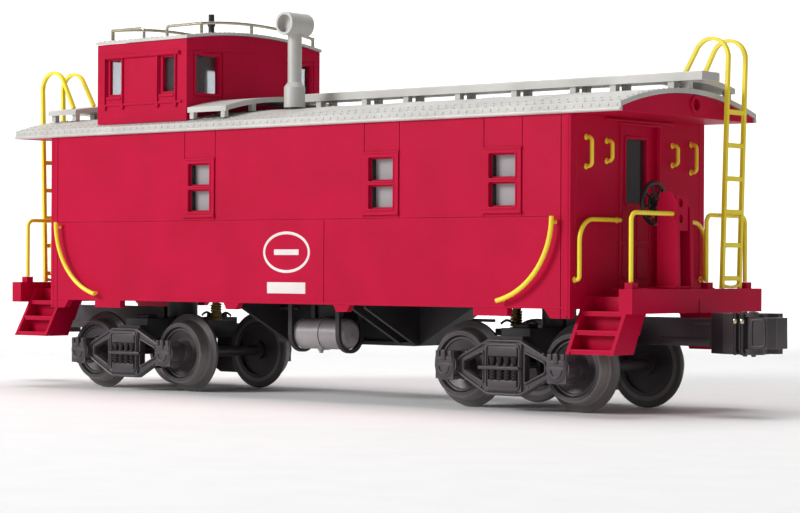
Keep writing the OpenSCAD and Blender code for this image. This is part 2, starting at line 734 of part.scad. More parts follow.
ladder_x0 = rail_x + 1.4;
ladder_x1 = ladder_x0 + 1.6;
ladder_foot_z = deck_z + seat_gap;
ladder_turn_z = walk_top_z + 4.8;
rungs = 6;

// Side bar, drawn in the X-Z plane: up from the deck, over in a loop and down to the landing
module ladder_side_bar(y) {
  loop_r = 5;
  land = [landing_x0 + 1.8, roof_z(y - ladder_bar) + cross_off + 0.3];
  bar_t = 0.9;
  top = [ladder_x1, ladder_turn_z];
  centre = [ladder_x1 - loop_r, ladder_turn_z];
  to_land = land - centre;
  lean = atan2(to_land.y, to_land.x);
  open_a = acos(loop_r / norm(to_land));
  end_a = 360 + lean - open_a;
  far = centre + loop_r * [cos(end_a), sin(end_a)];
  along_y(y - ladder_bar / 2, y + ladder_bar / 2) {
    difference() {
      translate(centre) circle(r = loop_r + bar_t / 2);
      translate(centre) circle(r = loop_r - bar_t / 2);
      polygon([centre, centre + [20, 0], centre + [20, -20], centre + [-20, -40],
        centre + 20 * [cos(end_a), sin(end_a)]]);
    }
    flat_bar([ladder_x0, ladder_foot_z], top, bar_t);
    flat_bar(far - 0.1 * unit(land - far), land, bar_t);
  }
}

// A flat strip of one width between two points
module flat_bar(a, b, w) {
  side = unit([a.y - b.y, b.x - a.x]) * w / 2;
  polygon([a + side, b + side, b - side, a - side]);
}

module ladder(ladder_y) {
  inner = ladder_w / 2 - ladder_bar / 2;
  for (s = [-1, 1]) ladder_side_bar(ladder_y + s * inner);
  for (i = [0 : rungs - 1]) {
    z = deck_z + 2.6 + i * rung_pitch;
    x = ladder_x0 + (ladder_x1 - ladder_x0) * (z - ladder_foot_z) / (ladder_turn_z - ladder_foot_z);
    block([x - 0.4, ladder_y - inner, z - 0.6], [x + 0.4, ladder_y + inner, z + 0.6]);
  }
}

module ladder_front() color(YELLOW) ladder(front_ladder_y);
module ladder_rear() color(YELLOW) at_end("rear") ladder(rear_ladder_y);

// ---- Hand brake ----

stand_y0 = -7.7;
stand_y1 = -0.5;
stand_x0 = beam_x - 3.6;
stand_x1 = beam_x + 2.1;
stand_top = 24;
stand_t = 1.3;

// A side plate of the stand with its corners cut off at the top
module stand_plate(y, top) along_y(y, y + stand_t) polygon([
  [stand_x0, deck_z + seat_gap], [stand_x1 + 0.4, deck_z + seat_gap],
  [stand_x1, deck_z + top - 2.2], [stand_x1 - 1.6, deck_z + top], [stand_x0 + 1.4, deck_z + top],
  [stand_x0, deck_z + top - 2.6]]);

stand_mid_y = (stand_y0 + stand_y1) / 2;

module brake_stand() difference() {
  union() {
    stand_plate(stand_y0, stand_top);
    stand_plate(stand_y1 - stand_t, stand_top - 2);
    block([stand_x0 + 0.4, stand_y0 + 0.5, deck_z + seat_gap],
      [stand_x0 + 1.6, stand_y1 - 0.5, deck_z + stand_top - 3]);
    block([stand_x0 + 0.4, stand_y0 + 0.5, deck_z + 14.4],
      [stand_x1 - 0.2, stand_y1 - stand_t - 0.6, deck_z + stand_top - 1]);
  }
  for (z = [17.3, 21.2]) translate([stand_x1 - 1.2, stand_mid_y - 1.5, deck_z + z]) rotate([0, 90, 0])
    cylinder(r = 1.1, h = 3);
  translate([stand_x0 - 1, stand_mid_y, deck_z + brake_wheel_rise]) rotate([0, 90, 0])
    cylinder(r = 0.8 + seat_gap, h = 2.9);
}

module brake_stand_front() color(RED) brake_stand();
module brake_stand_rear() color(RED) at_end("rear") brake_stand();

spokes = 5;

module brake_wheel()
  translate([stand_x0 - 3.4, stand_mid_y, deck_z + brake_wheel_rise]) rotate([0, 90, 0]) {
  rotate_extrude() translate([brake_wheel_d / 2 - 0.6, 0]) circle(r = 0.6, $fn = 24);
  translate([0, 0, -0.8]) cylinder(r = 1.5, h = 1.6);
  cylinder(r = 0.8, h = 5.2);
  for (i = [0 : spokes - 1]) rotate([0, 0, i * 360 / spokes]) translate([0, -0.45, -0.35])
    cube([brake_wheel_d / 2 - 0.6, 0.9, 0.7]);
}

module brake_wheel_front() color(BLACK) brake_wheel();
module brake_wheel_rear() color(BLACK) at_end("rear") brake_wheel();

// ---- Trucks, as on the +X end: the outer end of the truck points along +X ----

axle_z = tread_d / 2 + flange_h;
half_base = wheelbase / 2;
frame_y = back_to_back / 2 + wheel_w + 2.8;
frame_t = 1.6;
journal_t = 3.6;
barrel_in = 1.4;
frame_top = axle_z + 6.8;
frame_low = axle_z - 7.4;
bolster_half = 4.5;
bolster_top_z = sill_z - 5.3;

module truck_bolster() translate([truck_x, 0, 0]) difference() {
  union() {
    block([-bolster_half, -frame_y + seat_gap, bolster_low_z],
      [bolster_half, frame_y - seat_gap, frame_top + 0.8]);
    block([-bolster_half, -frame_y + 3, frame_top], [bolster_half, frame_y - 3, bolster_top_z]);
    cylinder(r = bolster_half, h = floor_z - 0.2);
    block([-half_base + 1.5, -6, bolster_top_z - 2.4], [0, 6, bolster_top_z - 0.6]);
  }
  block([-20, -20, -1], [20, 20, bolster_low_z]);
  translate([0, 0, bolster_low_z - 1]) cylinder(r = pivot_r + fit_gap, h = 30);
}

module truck_bolster_front() color(BLACK) truck_bolster();
module truck_bolster_rear() color(BLACK) at_end("rear") truck_bolster();

// Outline of a side frame, seen from the side, about the truck centre
module frame_outline() difference() {
  polygon([[-5.2, frame_top], [5.2, frame_top], [half_base - 2.4, axle_z + 1.9],
    [half_base - 2.4, axle_z - 1.9], [5.4, frame_low], [-5.4, frame_low],
    [-half_base + 2.4, axle_z - 1.9], [-half_base + 2.4, axle_z + 1.9]]);
  for (s = [-1, 1]) polygon([[s * 6.8, frame_top - 3.4], [s * (half_base - 5.2), axle_z + 1.0],
    [s * (half_base - 5.2), axle_z - 1.0], [s * 6.8, frame_low + 3.6]]);
}

// One side frame on the +Y side, with its spring pocket and journal boxes
module side_frame() difference() {
  union() {
    along_y(frame_y, frame_y + frame_t) frame_outline();
    along_y(frame_y, frame_y + frame_t + 0.6) difference() {
      translate([-5.8, frame_low + 1.2]) square([11.6, frame_top - frame_low - 2.0]);
      translate([-4.8, frame_low + 2.2]) square([9.6, 4.4]);
      translate([-4.8, frame_low + 7.6]) square([9.6, 5.0]);
    }
    for (i = [-1.5 : 1.5]) translate([i * 2.3, frame_y + frame_t, frame_low + 2.2])
      cylinder(r = 0.9, h = 4.4, $fn = 24);
    for (x = [-half_base, half_base]) {
      block([x - 2.9, frame_y, axle_z - 3.0], [x + 2.9, frame_y + journal_t, axle_z + 3.6]);
      block([x - 2.9, frame_y + journal_t - 0.8, axle_z - 3.6], [x + 2.9, frame_y + journal_t, axle_z + 3.6]);
      translate([x, frame_y - barrel_in, axle_z]) rotate([-90, 0, 0])
        cylinder(r = 3.5, h = barrel_in + journal_t - 0.4);
    }
  }
  for (s = [-1, 1]) translate([s * half_base, frame_y - barrel_in - 1, axle_z]) rotate([-90, 0, 0])
    cylinder(r = axle_d / 2 + fit_gap, h = barrel_in + 3.2);
}

module side_frames() translate([truck_x, 0, 0]) for (s = [0, 1]) mirror([0, s, 0]) side_frame();

module side_frames_front() color(STEEL) side_frames();
module side_frames_rear() color(STEEL) at_end("rear") side_frames();

// Brass spring on its post, standing on the inner end of the truck's cross plate
module spring_post() translate([truck_x - 14, 0, bolster_top_z - 0.6 + seat_gap]) {
  cylinder(r = 1, h = floor_z - bolster_top_z + 0.1);
  for (i = [0 : 4]) translate([0, 0, 0.4 + i * 0.95]) rotate_extrude() translate([1.35, 0])
    circle(r = 0.36, $fn = 24);
}

module spring_post_front() color(BRASS) spring_post();
module spring_post_rear() color(BRASS) at_end("rear") spring_post();

// A wheel's cross section: radius against place along the axle, from the middle of the axle outwards
module wheel_section() {
  y0 = back_to_back / 2;
  y1 = y0 + wheel_w;
  rim = tread_d / 2;
  hub = axle_d / 2;
  polygon([[hub - 0.2, y0 - 0.6], [hub + 1.2, y0 - 0.6], [hub + 1.2, y0 + 1], [rim - 1.8, y0 + 1],
    [rim - 1.8, y0], [rim + flange_h - 0.5, y0], [rim + flange_h, y0 + 0.5], [rim + flange_h - 0.2, y0 + 1.1],
    [rim + 0.3, y0 + 1.7], [rim, y0 + 2.2], [rim - 0.5, y1 - 0.3], [rim - 0.75, y1], [rim - 1.7, y1],
    [rim - 2.1, y1 - 1], [hub + 2.6, y1 - 1.7], [hub + 1.6, y1 + 0.6], [hub - 0.2, y1 + 0.6]]);
}

module wheelset(x) translate([x, 0, axle_z]) rotate([-90, 0, 0]) {
  translate([0, 0, -frame_y - 2]) cylinder(r = axle_d / 2, h = 2 * frame_y + 4);
  for (s = [0, 1]) mirror([0, 0, s]) rotate_extrude($fn = 96) wheel_section();
}

module wheelset_1() color(STEEL) wheelset(truck_x + half_base);
module wheelset_2() color(STEEL) wheelset(truck_x - half_base);
module wheelset_3() color(STEEL) wheelset(-truck_x + half_base);
module wheelset_4() color(STEEL) wheelset(-truck_x - half_base);

// ---- Couplers, as on the +X end ----

pin_x = truck_x + knuckle_x;
pin_y = -4;
head_x0 = beam_face_x + 5.6;
coupler_low = coupler_z - coupler_h / 2;
coupler_top = coupler_z + coupler_h / 2;
arm_half = 3.2;
knuckle_low = coupler_low + 1.5;
knuckle_top = coupler_top - 0.9;
lug_r = 2.7;
knuckle_gap = 0.15;

module coupler() difference() {
  union() {
    block([truck_x + bolster_half + seat_gap, -arm_half, coupler_low + 1.6],
      [head_x0 + 1, arm_half, coupler_top - 1.4]);
    translate([0, 0, coupler_low]) linear_extrude(coupler_h) {
      polygon([[head_x0, -arm_half], [head_x0 + 5, pin_y - 1.8], [pin_x, pin_y - lug_r],
        [pin_x + 1.2, pin_y - lug_r + 0.3], [pin_x + 1.2, 0.5], [pin_x + 0.6, 2.4],
        [pin_x + 2.4, 3.5], [pin_x + 2.6, 5.2], [pin_x - 3, 5.2],
        [head_x0 + 4, arm_half + 0.6], [head_x0, arm_half]]);
      translate([pin_x, pin_y]) circle(r = lug_r);
    }
  }
  translate([0, 0, knuckle_low - knuckle_gap]) linear_extrude(knuckle_top - knuckle_low + 2 * knuckle_gap) {
    translate([pin_x, pin_y]) circle(r = lug_r + 0.7);
    polygon([[pin_x - 2.2, pin_y - 6], [pin_x + 9, pin_y - 6], [pin_x + 9, 1.8], [pin_x + 0.4, 1.8],
      [pin_x - 2.2, -0.6]]);
  }
  translate([pin_x, pin_y, coupler_low - 1]) cylinder(d = knuckle_pin_d + 2 * fit_gap, h = coupler_h + 2);
}

module coupler_front() color(BLACK) coupler();
module coupler_rear() color(BLACK) at_end("rear") coupler();

// The hook that swings open about its pin
module knuckle() {
  translate([0, 0, knuckle_low]) linear_extrude(knuckle_top - knuckle_low) {
    translate([pin_x, pin_y]) circle(r = 2.1);
    polygon([[pin_x, pin_y - 2.1], [pin_x + 4.6, pin_y - 1.6], [pin_x + 6.5, pin_y - 0.2], [pin_x + 6.5, 0.8],
      [pin_x + 5, 1.4], [pin_x + 4, 0.6], [pin_x + 3.9, pin_y + 2.4], [pin_x + 2, pin_y + 2.2],
      [pin_x, pin_y + 2.1]]);
  }
  translate([pin_x, pin_y, coupler_low + 0.2]) cylinder(d = knuckle_pin_d, h = coupler_h - 0.1);
}

module knuckle_front() color(STEEL) knuckle();
module knuckle_rear() color(STEEL) at_end("rear") knuckle();

body_shell();
main_roof();
roof_end_panels();
cupola_shell();
cupola_roof();
roof_walk_front();
roof_walk_rear();
cupola_cross_walk();
smoke_jack();
cupola_rails();
cupola_post();
underframe();
kingpins();
air_tank();
tank_straps();
battery_box();
platform_front();
platform_rear();
steps_front();
steps_rear();
side_grab_irons();
end_grab_irons_front();
end_grab_irons_rear();
railing_front();
railing_rear();
ladder_front();
ladder_rear();
brake_stand_front();
brake_stand_rear();
brake_wheel_front();
brake_wheel_rear();
side_glazing();
door_glazing();
cupola_glazing();
truck_bolster_front();
truck_bolster_rear();
side_frames_front();
side_frames_rear();
spring_post_front();
spring_post_rear();
wheelset_1();
wheelset_2();
wheelset_3();
wheelset_4();
coupler_front();
coupler_rear();
knuckle_front();
knuckle_rear();
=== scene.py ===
"""Looks for the cupola caboose: finishes for every CAD node, and the fine pieces that ride on them.

Lengths in the shape functions are millimetres, and a piece's mesh is scaled to metres when it is made. What stands
at both ends is drawn at +X and turned half round for the rear, and what is on both sides is drawn at +Y and
mirrored.
"""

import bpy
import numpy as np
from mathutils import Matrix, Vector


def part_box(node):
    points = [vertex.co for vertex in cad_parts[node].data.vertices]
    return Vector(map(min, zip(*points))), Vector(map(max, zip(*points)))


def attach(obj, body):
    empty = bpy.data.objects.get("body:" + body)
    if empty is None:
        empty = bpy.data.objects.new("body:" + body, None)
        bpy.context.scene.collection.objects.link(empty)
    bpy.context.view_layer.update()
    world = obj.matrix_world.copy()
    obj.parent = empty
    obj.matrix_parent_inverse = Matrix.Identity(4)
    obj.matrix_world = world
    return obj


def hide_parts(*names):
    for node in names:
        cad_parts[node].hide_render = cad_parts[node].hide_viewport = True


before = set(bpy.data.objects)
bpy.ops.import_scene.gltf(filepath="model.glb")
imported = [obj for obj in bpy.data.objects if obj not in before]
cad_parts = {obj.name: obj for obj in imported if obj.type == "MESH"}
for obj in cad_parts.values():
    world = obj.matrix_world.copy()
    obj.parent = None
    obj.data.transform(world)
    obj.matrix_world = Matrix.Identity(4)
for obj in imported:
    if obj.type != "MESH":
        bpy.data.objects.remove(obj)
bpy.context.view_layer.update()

MM = 0.001
TURN = 2 * np.pi
X_WAY, Y_WAY, Z_WAY = np.eye(3)


def corners(node):
    """Lowest and highest corner of a CAD node, in millimetres."""
    low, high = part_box(node)
    return np.array(low) / MM, np.array(high) / MM


def arch_radius(half, rise):
    """Radius of the arch that rises by rise over a width of twice half: (half^2 + rise^2) / (2 rise)."""
    return (half ** 2 + rise ** 2) / (2 * rise)


# ---- Sizes read from the CAD nodes ----

shell_low, shell_high = corners("body_shell")
roof_high = corners("main_roof")[1]
cupola_low, cupola_high = corners("cupola_shell")
cupola_roof_low, cupola_roof_high = corners("cupola_roof")
jack_low, jack_high = corners("smoke_jack")
platform_high = corners("platform_front")[1]
stand_low, stand_high = corners("brake_stand_front")
coupler_low, coupler_high = corners("coupler_front")
tank_low, tank_high = corners("air_tank")
wheel_box = {k: corners(f"wheelset_{k}") for k in (1, 2, 3, 4)}
axle_x = {k: (low[0] + high[0]) / 2 for k, (low, high) in wheel_box.items()}

SASH_RISE = 0.4                                # window frames stand this far off the side walls
HALF_LEN = shell_high[0]
WALL_Y = shell_high[1] - SASH_RISE
SILL_Z = shell_low[2] + 2.3
BELT_Z = SILL_Z + 22.5
EAVE_Z = corners("roof_end_panels")[0][2]
WINDOW_XS = (-32.65, 34.05, 73.8)
PANE_W, PANE_H, SASH_GAP = 7.5, 5.4, 1.8
PANE_Z = BELT_Z + 1.6 + (15.5 - 2 * PANE_H - SASH_GAP) / 2
PANE_ROWS = (PANE_Z, PANE_Z + PANE_H + SASH_GAP)

ROOF_HALF, ROOF_END, ROOF_RISE = roof_high[1], roof_high[0], 4.7
ROOF_EDGE_Z = roof_high[2] - ROOF_RISE
ROOF_R = arch_radius(ROOF_HALF, ROOF_RISE)
ROOF_AXIS_Z = roof_high[2] - ROOF_R
SHEET_JOINTS = np.linspace(-ROOF_END + 0.9, ROOF_END - 0.9, 9)
WALK_TOP = roof_high[2] + 3.8

CUPOLA_X = (cupola_low[0] + cupola_high[0]) / 2
CUPOLA_HALF = cupola_high[1] - 0.7
CUPOLA_ROOF_HALF, CUPOLA_ARCH = cupola_roof_high[1], 2.4
CUPOLA_R = arch_radius(CUPOLA_ROOF_HALF, CUPOLA_ARCH)
CUPOLA_AXIS_Z = cupola_roof_high[2] - CUPOLA_R
CUPOLA_EAVE_Z = cupola_roof_high[2] - CUPOLA_ARCH
CUPOLA_PANE_Z, CUPOLA_PANE_H = CUPOLA_EAVE_Z - 15.4, 9.8

DECK_Z = platform_high[2] - 1.6
BEAM_FACE = platform_high[0]
STEP_LOW, STEP_TOP, STEP_TOP_Y = SILL_Z - 10.8, DECK_Z - 1.8, 23.9
STAND_Y = (stand_low[1] + stand_high[1]) / 2
HAND_WHEEL_X, HAND_WHEEL_Z = stand_low[0] - 3.4, DECK_Z + 21.3

TRUCK_X = (axle_x[1] + axle_x[2]) / 2
HALF_BASE = axle_x[1] - TRUCK_X
AXLE_Z = (wheel_box[1][0][2] + wheel_box[1][1][2]) / 2
BOX_FACE = corners("side_frames_front")[1][1]
FRAME_FACE = BOX_FACE - 2.0
FRAME_TOP, FRAME_LOW = AXLE_Z + 6.8, AXLE_Z - 7.4
WHEEL_FACE = wheel_box[1][1][1] - 4.8
FLANGE_R = 10.2
PIN_X, PIN_Y, PIN_Z = 130.5, -4.0, 20.4        # the coupler knuckle's pin

# ---- Finishes ----

BLOTCH_SCALE = 70                              # tones drift over about a seventieth of a metre


def linear(red, green, blue):
    """A display colour, 0 to 255 a channel, as the linear values a shader takes."""
    c = np.array([red, green, blue]) / 255
    return (*np.where(c <= 0.04045, c / 12.92, ((c + 0.055) / 1.055) ** 2.4), 1.0)


def add_node(tree, kind, inputs=(), **settings):
    """A new shader node. The settings are its fields, and each input takes a value or another node's output."""
    node = tree.nodes.new("ShaderNode" + kind)
    for field, value in settings.items():
        setattr(node, field, value)
    for socket, value in dict(inputs).items():
        if isinstance(value, bpy.types.NodeSocket):
            tree.links.new(value, node.inputs[socket])
        else:
            node.inputs[socket].default_value = value
    return node


def finish_of(name, colour, shade, rough, metal=0.0, grain=900, bump=0.05, spread=0.08, edge=None, edge_share=0.5,
              gloss=0.5):
    """A painted or bare finish: two tones mixed by soft noise, a fine grain in roughness and bump, and edges
    that turn towards the colour edge where the surface bends sharply, which is a painted highlight where that
    colour is lighter than the paint."""
    mat = bpy.data.materials.new(name)
    mat.use_nodes = True
    tree = mat.node_tree
    shader = tree.nodes["Principled BSDF"]
    shader.inputs["Metallic"].default_value = metal
    shader.inputs["Specular IOR Level"].default_value = gloss
    place = add_node(tree, "TexCoord").outputs["Object"]
    soft = add_node(tree, "TexNoise", {"Scale": BLOTCH_SCALE, "Detail": 4, "Vector": place}).outputs["Fac"]
    fine = add_node(tree, "TexNoise", {"Scale": grain, "Detail": 3, "Vector": place}).outputs["Fac"]
    tone = add_node(tree, "MapRange", {"From Min": 0.35, "From Max": 0.68, "Value": soft}).outputs["Result"]
    shown = add_node(tree, "Mix", {"A": colour, "B": shade, "Factor": tone}, data_type="RGBA").outputs["Result"]
    if edge:
        # Painted highlight: where the edge colour is lighter than the paint, sharp edges are brightened as if they
        # caught the light; where it is darker, as on yellow and tank grey, the edges are only darker.
        bent = add_node(tree, "Bevel", {"Radius": 0.35 * MM}, samples=4).outputs["Normal"]
        flat = add_node(tree, "NewGeometry").outputs["Normal"]
        dot = add_node(tree, "VectorMath", {0: bent, 1: flat}, operation="DOT_PRODUCT").outputs["Value"]
        sharp = add_node(tree, "MapRange", {"From Min": 0.995, "From Max": 0.85, "To Max": edge_share,
                                            "Value": dot}).outputs["Result"]
        edge_highlight_and_wear = add_node(tree, "Math", {0: sharp, 1: fine}, operation="MULTIPLY").outputs["Value"]
        shown = add_node(tree, "Mix", {"A": shown, "B": edge, "Factor": edge_highlight_and_wear}, data_type="RGBA").outputs["Result"]
    tree.links.new(shown, shader.inputs["Base Color"])
    dull = add_node(tree, "MapRange", {"To Min": max(rough - spread, 0.03), "To Max": rough + spread,
                                       "Value": fine})
    tree.links.new(dull.outputs["Result"], shader.inputs["Roughness"])
    relief = add_node(tree, "Bump", {"Strength": bump, "Distance": 0.3 * MM, "Height": fine})
    tree.links.new(relief.outputs["Normal"], shader.inputs["Normal"])
    return mat


def wheel_finish(name, middle_x):
    """Cast wheel: dark painted faces, and a bright worn ring where the tread runs, by distance from the axle as a
    share of the flange's radius."""
    # The lighter edge colour is a painted highlight on the wheel's sharp edges.
    mat = finish_of(name, linear(84, 79, 82), linear(64, 60, 63), 0.42, metal=0.35, grain=1100, bump=0.1,
                    edge=linear(170, 165, 160))
    tree = mat.node_tree
    base = tree.nodes["Principled BSDF"].inputs["Base Color"]
    place = add_node(tree, "TexCoord").outputs["Object"]
    from_axle = add_node(tree, "VectorMath", {0: place, 1: (middle_x * MM, 0, AXLE_Z * MM)}, operation="SUBTRACT")
    flat = add_node(tree, "VectorMath", {0: from_axle.outputs["Vector"], 1: (1, 0, 1)}, operation="MULTIPLY")
    radius = add_node(tree, "VectorMath", {0: flat.outputs["Vector"]}, operation="LENGTH").outputs["Value"]
    share = add_node(tree, "Math", {0: radius, 1: 1 / (FLANGE_R * MM)}, operation="MULTIPLY").outputs["Value"]
    ring = add_node(tree, "ValToRGB", {"Fac": share})
    stops = ring.color_ramp.elements
    stops[0].position, stops[1].position = 0.0, 0.815
    for at in (0.825, 0.915, 0.935):
        stops.new(at)
    for stop, bright in zip(stops, (0, 0, 0.6, 0.6, 0.15)):
        stop.color = (bright, bright, bright, 1)
    edge_highlight_and_wear = add_node(tree, "Mix", {"A": base.links[0].from_socket, "B": linear(150, 146, 142),
                                  "Factor": ring.outputs["Color"]}, data_type="RGBA")
    tree.links.new(edge_highlight_and_wear.outputs["Result"], base)
    return mat


def glass_finish(name, colour, rough, clear):
    """Sheet glazing: a tinted plastic with a soft streaky haze in its roughness."""
    mat = finish_of(name, colour, (*(np.array(colour[:3]) * 0.93), 1.0), rough, grain=300, bump=0.02, spread=0.04)
    shader = mat.node_tree.nodes["Principled BSDF"]
    shader.inputs["Transmission Weight"].default_value = clear
    shader.inputs["IOR"].default_value = 1.45
    return mat


# Each edge colour below that is lighter than its paint is a painted highlight on sharp edges.
RED = finish_of("body_red", linear(193, 3, 58), linear(183, 2, 52), 0.48, bump=0.035, grain=1500,
                edge=linear(226, 50, 84), gloss=0.12)
SILVER = finish_of("roof_silver", linear(206, 204, 200), linear(186, 184, 179), 0.46, metal=0.15, grain=2200,
                   bump=0.16, edge=linear(240, 240, 236), edge_share=0.6)
YELLOW = finish_of("trim_yellow", linear(255, 236, 62), linear(250, 224, 44), 0.34, bump=0.08, grain=2500,
                   edge=linear(180, 150, 30))
UNDER_BLACK = finish_of("underframe_black", linear(47, 44, 46), linear(36, 34, 36), 0.5, grain=1300, bump=0.12,
                        edge=linear(96, 90, 92))
TANK_GREY = finish_of("tank_grey", linear(172, 167, 168), linear(150, 145, 147), 0.36, metal=0.1, grain=1200,
                      bump=0.08, edge=linear(140, 134, 132))
TRIM_BLACK = finish_of("trim_black", linear(34, 32, 34), linear(26, 24, 26), 0.38, grain=1800, bump=0.08,
                       edge=linear(90, 86, 88))
BRASS = finish_of("spring_brass", linear(176, 150, 100), linear(140, 112, 66), 0.3, metal=1.0, grain=1500,
                  bump=0.08)
NICKEL = finish_of("rail_nickel", linear(206, 200, 180), linear(176, 166, 140), 0.26, metal=1.0, grain=1500,
                   bump=0.06)
CASTING = finish_of("truck_casting", linear(78, 73, 77), linear(62, 57, 61), 0.44, metal=0.2, grain=1000,
                    bump=0.14, edge=linear(138, 132, 134), edge_share=0.8)
COUPLER_DARK = finish_of("coupler_dark", linear(72, 66, 70), linear(52, 48, 51), 0.4, metal=0.35, bump=0.14,
                         edge=linear(150, 140, 138), edge_share=0.8)
FROSTED = glass_finish("pane_frosted", linear(168, 165, 168), 0.35, 0.0)
CLEAR = glass_finish("pane_clear", linear(226, 230, 234), 0.05, 0.96)
DOOR_PANE = glass_finish("pane_door", linear(58, 56, 60), 0.1, 0.25)
MARK_WHITE = finish_of("mark_white", linear(238, 232, 230), linear(224, 216, 214), 0.4, grain=1800, bump=0.04)
SPRING_STEEL = finish_of("spring_dark", linear(58, 54, 57), linear(44, 41, 44), 0.36, metal=0.5, grain=1500,
                         bump=0.08)

# A name that ends in _ stands for the nodes of both ends.
FINISHED_NODES = (
    (RED, "body_shell roof_end_panels cupola_shell platform_ steps_ brake_stand_"),
    (SILVER, "main_roof cupola_roof roof_walk_ cupola_cross_walk smoke_jack"),
    (YELLOW, "side_grab_irons end_grab_irons_ railing_ ladder_"),
    (UNDER_BLACK, "underframe tank_straps battery_box truck_bolster_"),
    (TRIM_BLACK, "cupola_post brake_wheel_"),
    (BRASS, "kingpins spring_post_"),
    (CASTING, "side_frames_"),
    (COUPLER_DARK, "coupler_ knuckle_"),
    (NICKEL, "cupola_rails"),
    (TANK_GREY, "air_tank"),
    (FROSTED, "side_glazing"),
    (DOOR_PANE, "door_glazing"),
    (CLEAR, "cupola_glazing"),
)
NODE_FINISH = {f"wheelset_{k}": wheel_finish(f"wheel_face_{k}", axle_x[k]) for k in wheel_box}
for mat, nodes in FINISHED_NODES:
    for node in nodes.split():
        for end in ("front", "rear") if node.endswith("_") else ("",):
            NODE_FINISH[node + end] = mat
for node, mat in NODE_FINISH.items():
    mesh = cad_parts[node].data
    mesh.materials.clear()
    mesh.materials.append(mat)

# ---- Shapes, each returned as (points, list of faces) ----


def quads(rows, cols, wrap_rows=False, wrap_cols=False):
    """Faces between the points of a rows by cols grid, turned so that they face away from row x column."""
    r = np.arange(rows if wrap_rows else rows - 1)[:, None]
    c = np.arange(cols if wrap_cols else cols - 1)[None, :]
    r1, c1 = (r + 1) % rows, (c + 1) % cols
    return np.stack([r * cols + c, r1 * cols + c, r1 * cols + c1, r * cols + c1], -1).reshape(-1, 4)


def unit(v):
    """Vectors divided by their lengths."""
    return v / np.maximum(np.linalg.norm(v, axis=-1, keepdims=True), 1e-12)


def places(x, y, z):
    """Points from three coordinates, each an array or one number for them all."""
    return np.stack(np.broadcast_arrays(x, y, z), -1).astype(float)


def carried(path, profile, up, closed=False):
    """A flat profile carried along a path. Point (i, j) is path[i] + across[i] * profile[j, 0] * mitre[i]
    + up2[i] * profile[j, 1], where across is tangent x up, and mitre is 1 over the cosine of half the turn."""
    path, profile = np.asarray(path, float), np.asarray(profile, float)
    if closed:
        back, ahead = path - np.roll(path, 1, 0), np.roll(path, -1, 0) - path
    else:
        step = np.diff(path, axis=0)
        back, ahead = np.vstack([step[:1], step]), np.vstack([step, step[-1:]])
    back, ahead = unit(back), unit(ahead)
    tangent = unit(back + ahead)
    mitre = 1 / np.clip((tangent * ahead).sum(1), 0.3, 1)
    across = unit(np.cross(tangent, np.broadcast_to(up, path.shape)))
    up2 = np.cross(across, tangent)
    points = (path[:, None] + across[:, None] * (profile[None, :, :1] * mitre[:, None, None])
              + up2[:, None] * profile[None, :, 1:2]).reshape(-1, 3)
    n, m = len(path), len(profile)
    faces = quads(n, m, wrap_rows=closed, wrap_cols=True).tolist()
    if not closed:
        faces += [list(range(m)), list(range((n - 1) * m, n * m))[::-1]]
    return points, faces


def rounded(loop, cut, steps=5):
    """A closed line with its corners rounded: corner p between a and b, both a cut away from it along its sides,
    becomes (1 - t)^2 a + 2 t (1 - t) p + t^2 b."""
    p = np.asarray(loop, float)
    a, b = p + unit(np.roll(p, 1, 0) - p) * cut, p + unit(np.roll(p, -1, 0) - p) * cut
    t = np.linspace(0, 1, steps)[None, :, None]
    return ((1 - t) ** 2 * a[:, None] + 2 * t * (1 - t) * p[:, None] + t ** 2 * b[:, None]).reshape(-1, p.shape[1])


def circle_angles(count):
    """Angles that share a whole turn evenly."""
    return np.arange(count) / count * TURN


def round_profile(radius, sides=12):
    """A circle of the radius, point j at the angle j parts of a turn."""
    a = circle_angles(sides)
    return np.stack([np.cos(a), np.sin(a)], 1) * radius


def rib_profile(width, height, sides=5, sink=0.15):
    """A low bar with a rounded top: half an ellipse width by height on a foot sunk into the face below."""
    a = np.linspace(0, np.pi, sides)
    top = np.stack([np.cos(a) * width / 2, np.sin(a) ** 0.8 * height], 1)
    return np.vstack([[[width / 2, -sink]], top, [[-width / 2, -sink]]])


def strip(start, stop, up, width, height, sides=5):
    """A straight rounded rib from start to stop."""
    return carried([start, stop], rib_profile(width, height, sides), up)


def rim(loop, cut, up, width, height, sink=0.15):
    """A rounded rib carried round a closed line whose corners are rounded by cut."""
    return carried(rounded(loop, cut), rib_profile(width, height, 5, sink), up, closed=True)


def turned(profile, centre, axis, sides=32, ring=False):
    """A profile of (radius, height) turned about an axis: point (i, j) is centre + axis * height[i]
    + radius[i] * (cos a[j] * p + sin a[j] * q), with p and q square to the axis. Both ends are closed flat, or
    the profile's last point is joined to its first when it is a ring."""
    profile = np.asarray(profile, float)
    axis = unit(np.asarray(axis, float))
    p = unit(np.cross(axis, Z_WAY if abs(axis[2]) < 0.9 else X_WAY))
    q = np.cross(axis, p)
    a = circle_angles(sides)
    out = np.cos(a)[:, None] * p + np.sin(a)[:, None] * q
    points = (np.asarray(centre, float) + profile[:, None, 1:2] * axis
              + profile[:, None, :1] * out[None]).reshape(-1, 3)
    n = len(profile)
    faces = quads(n, sides, wrap_rows=ring, wrap_cols=True)[:, ::-1].tolist()
    if not ring:
        faces += [list(range(sides))[::-1], list(range((n - 1) * sides, n * sides))]
    return points, faces


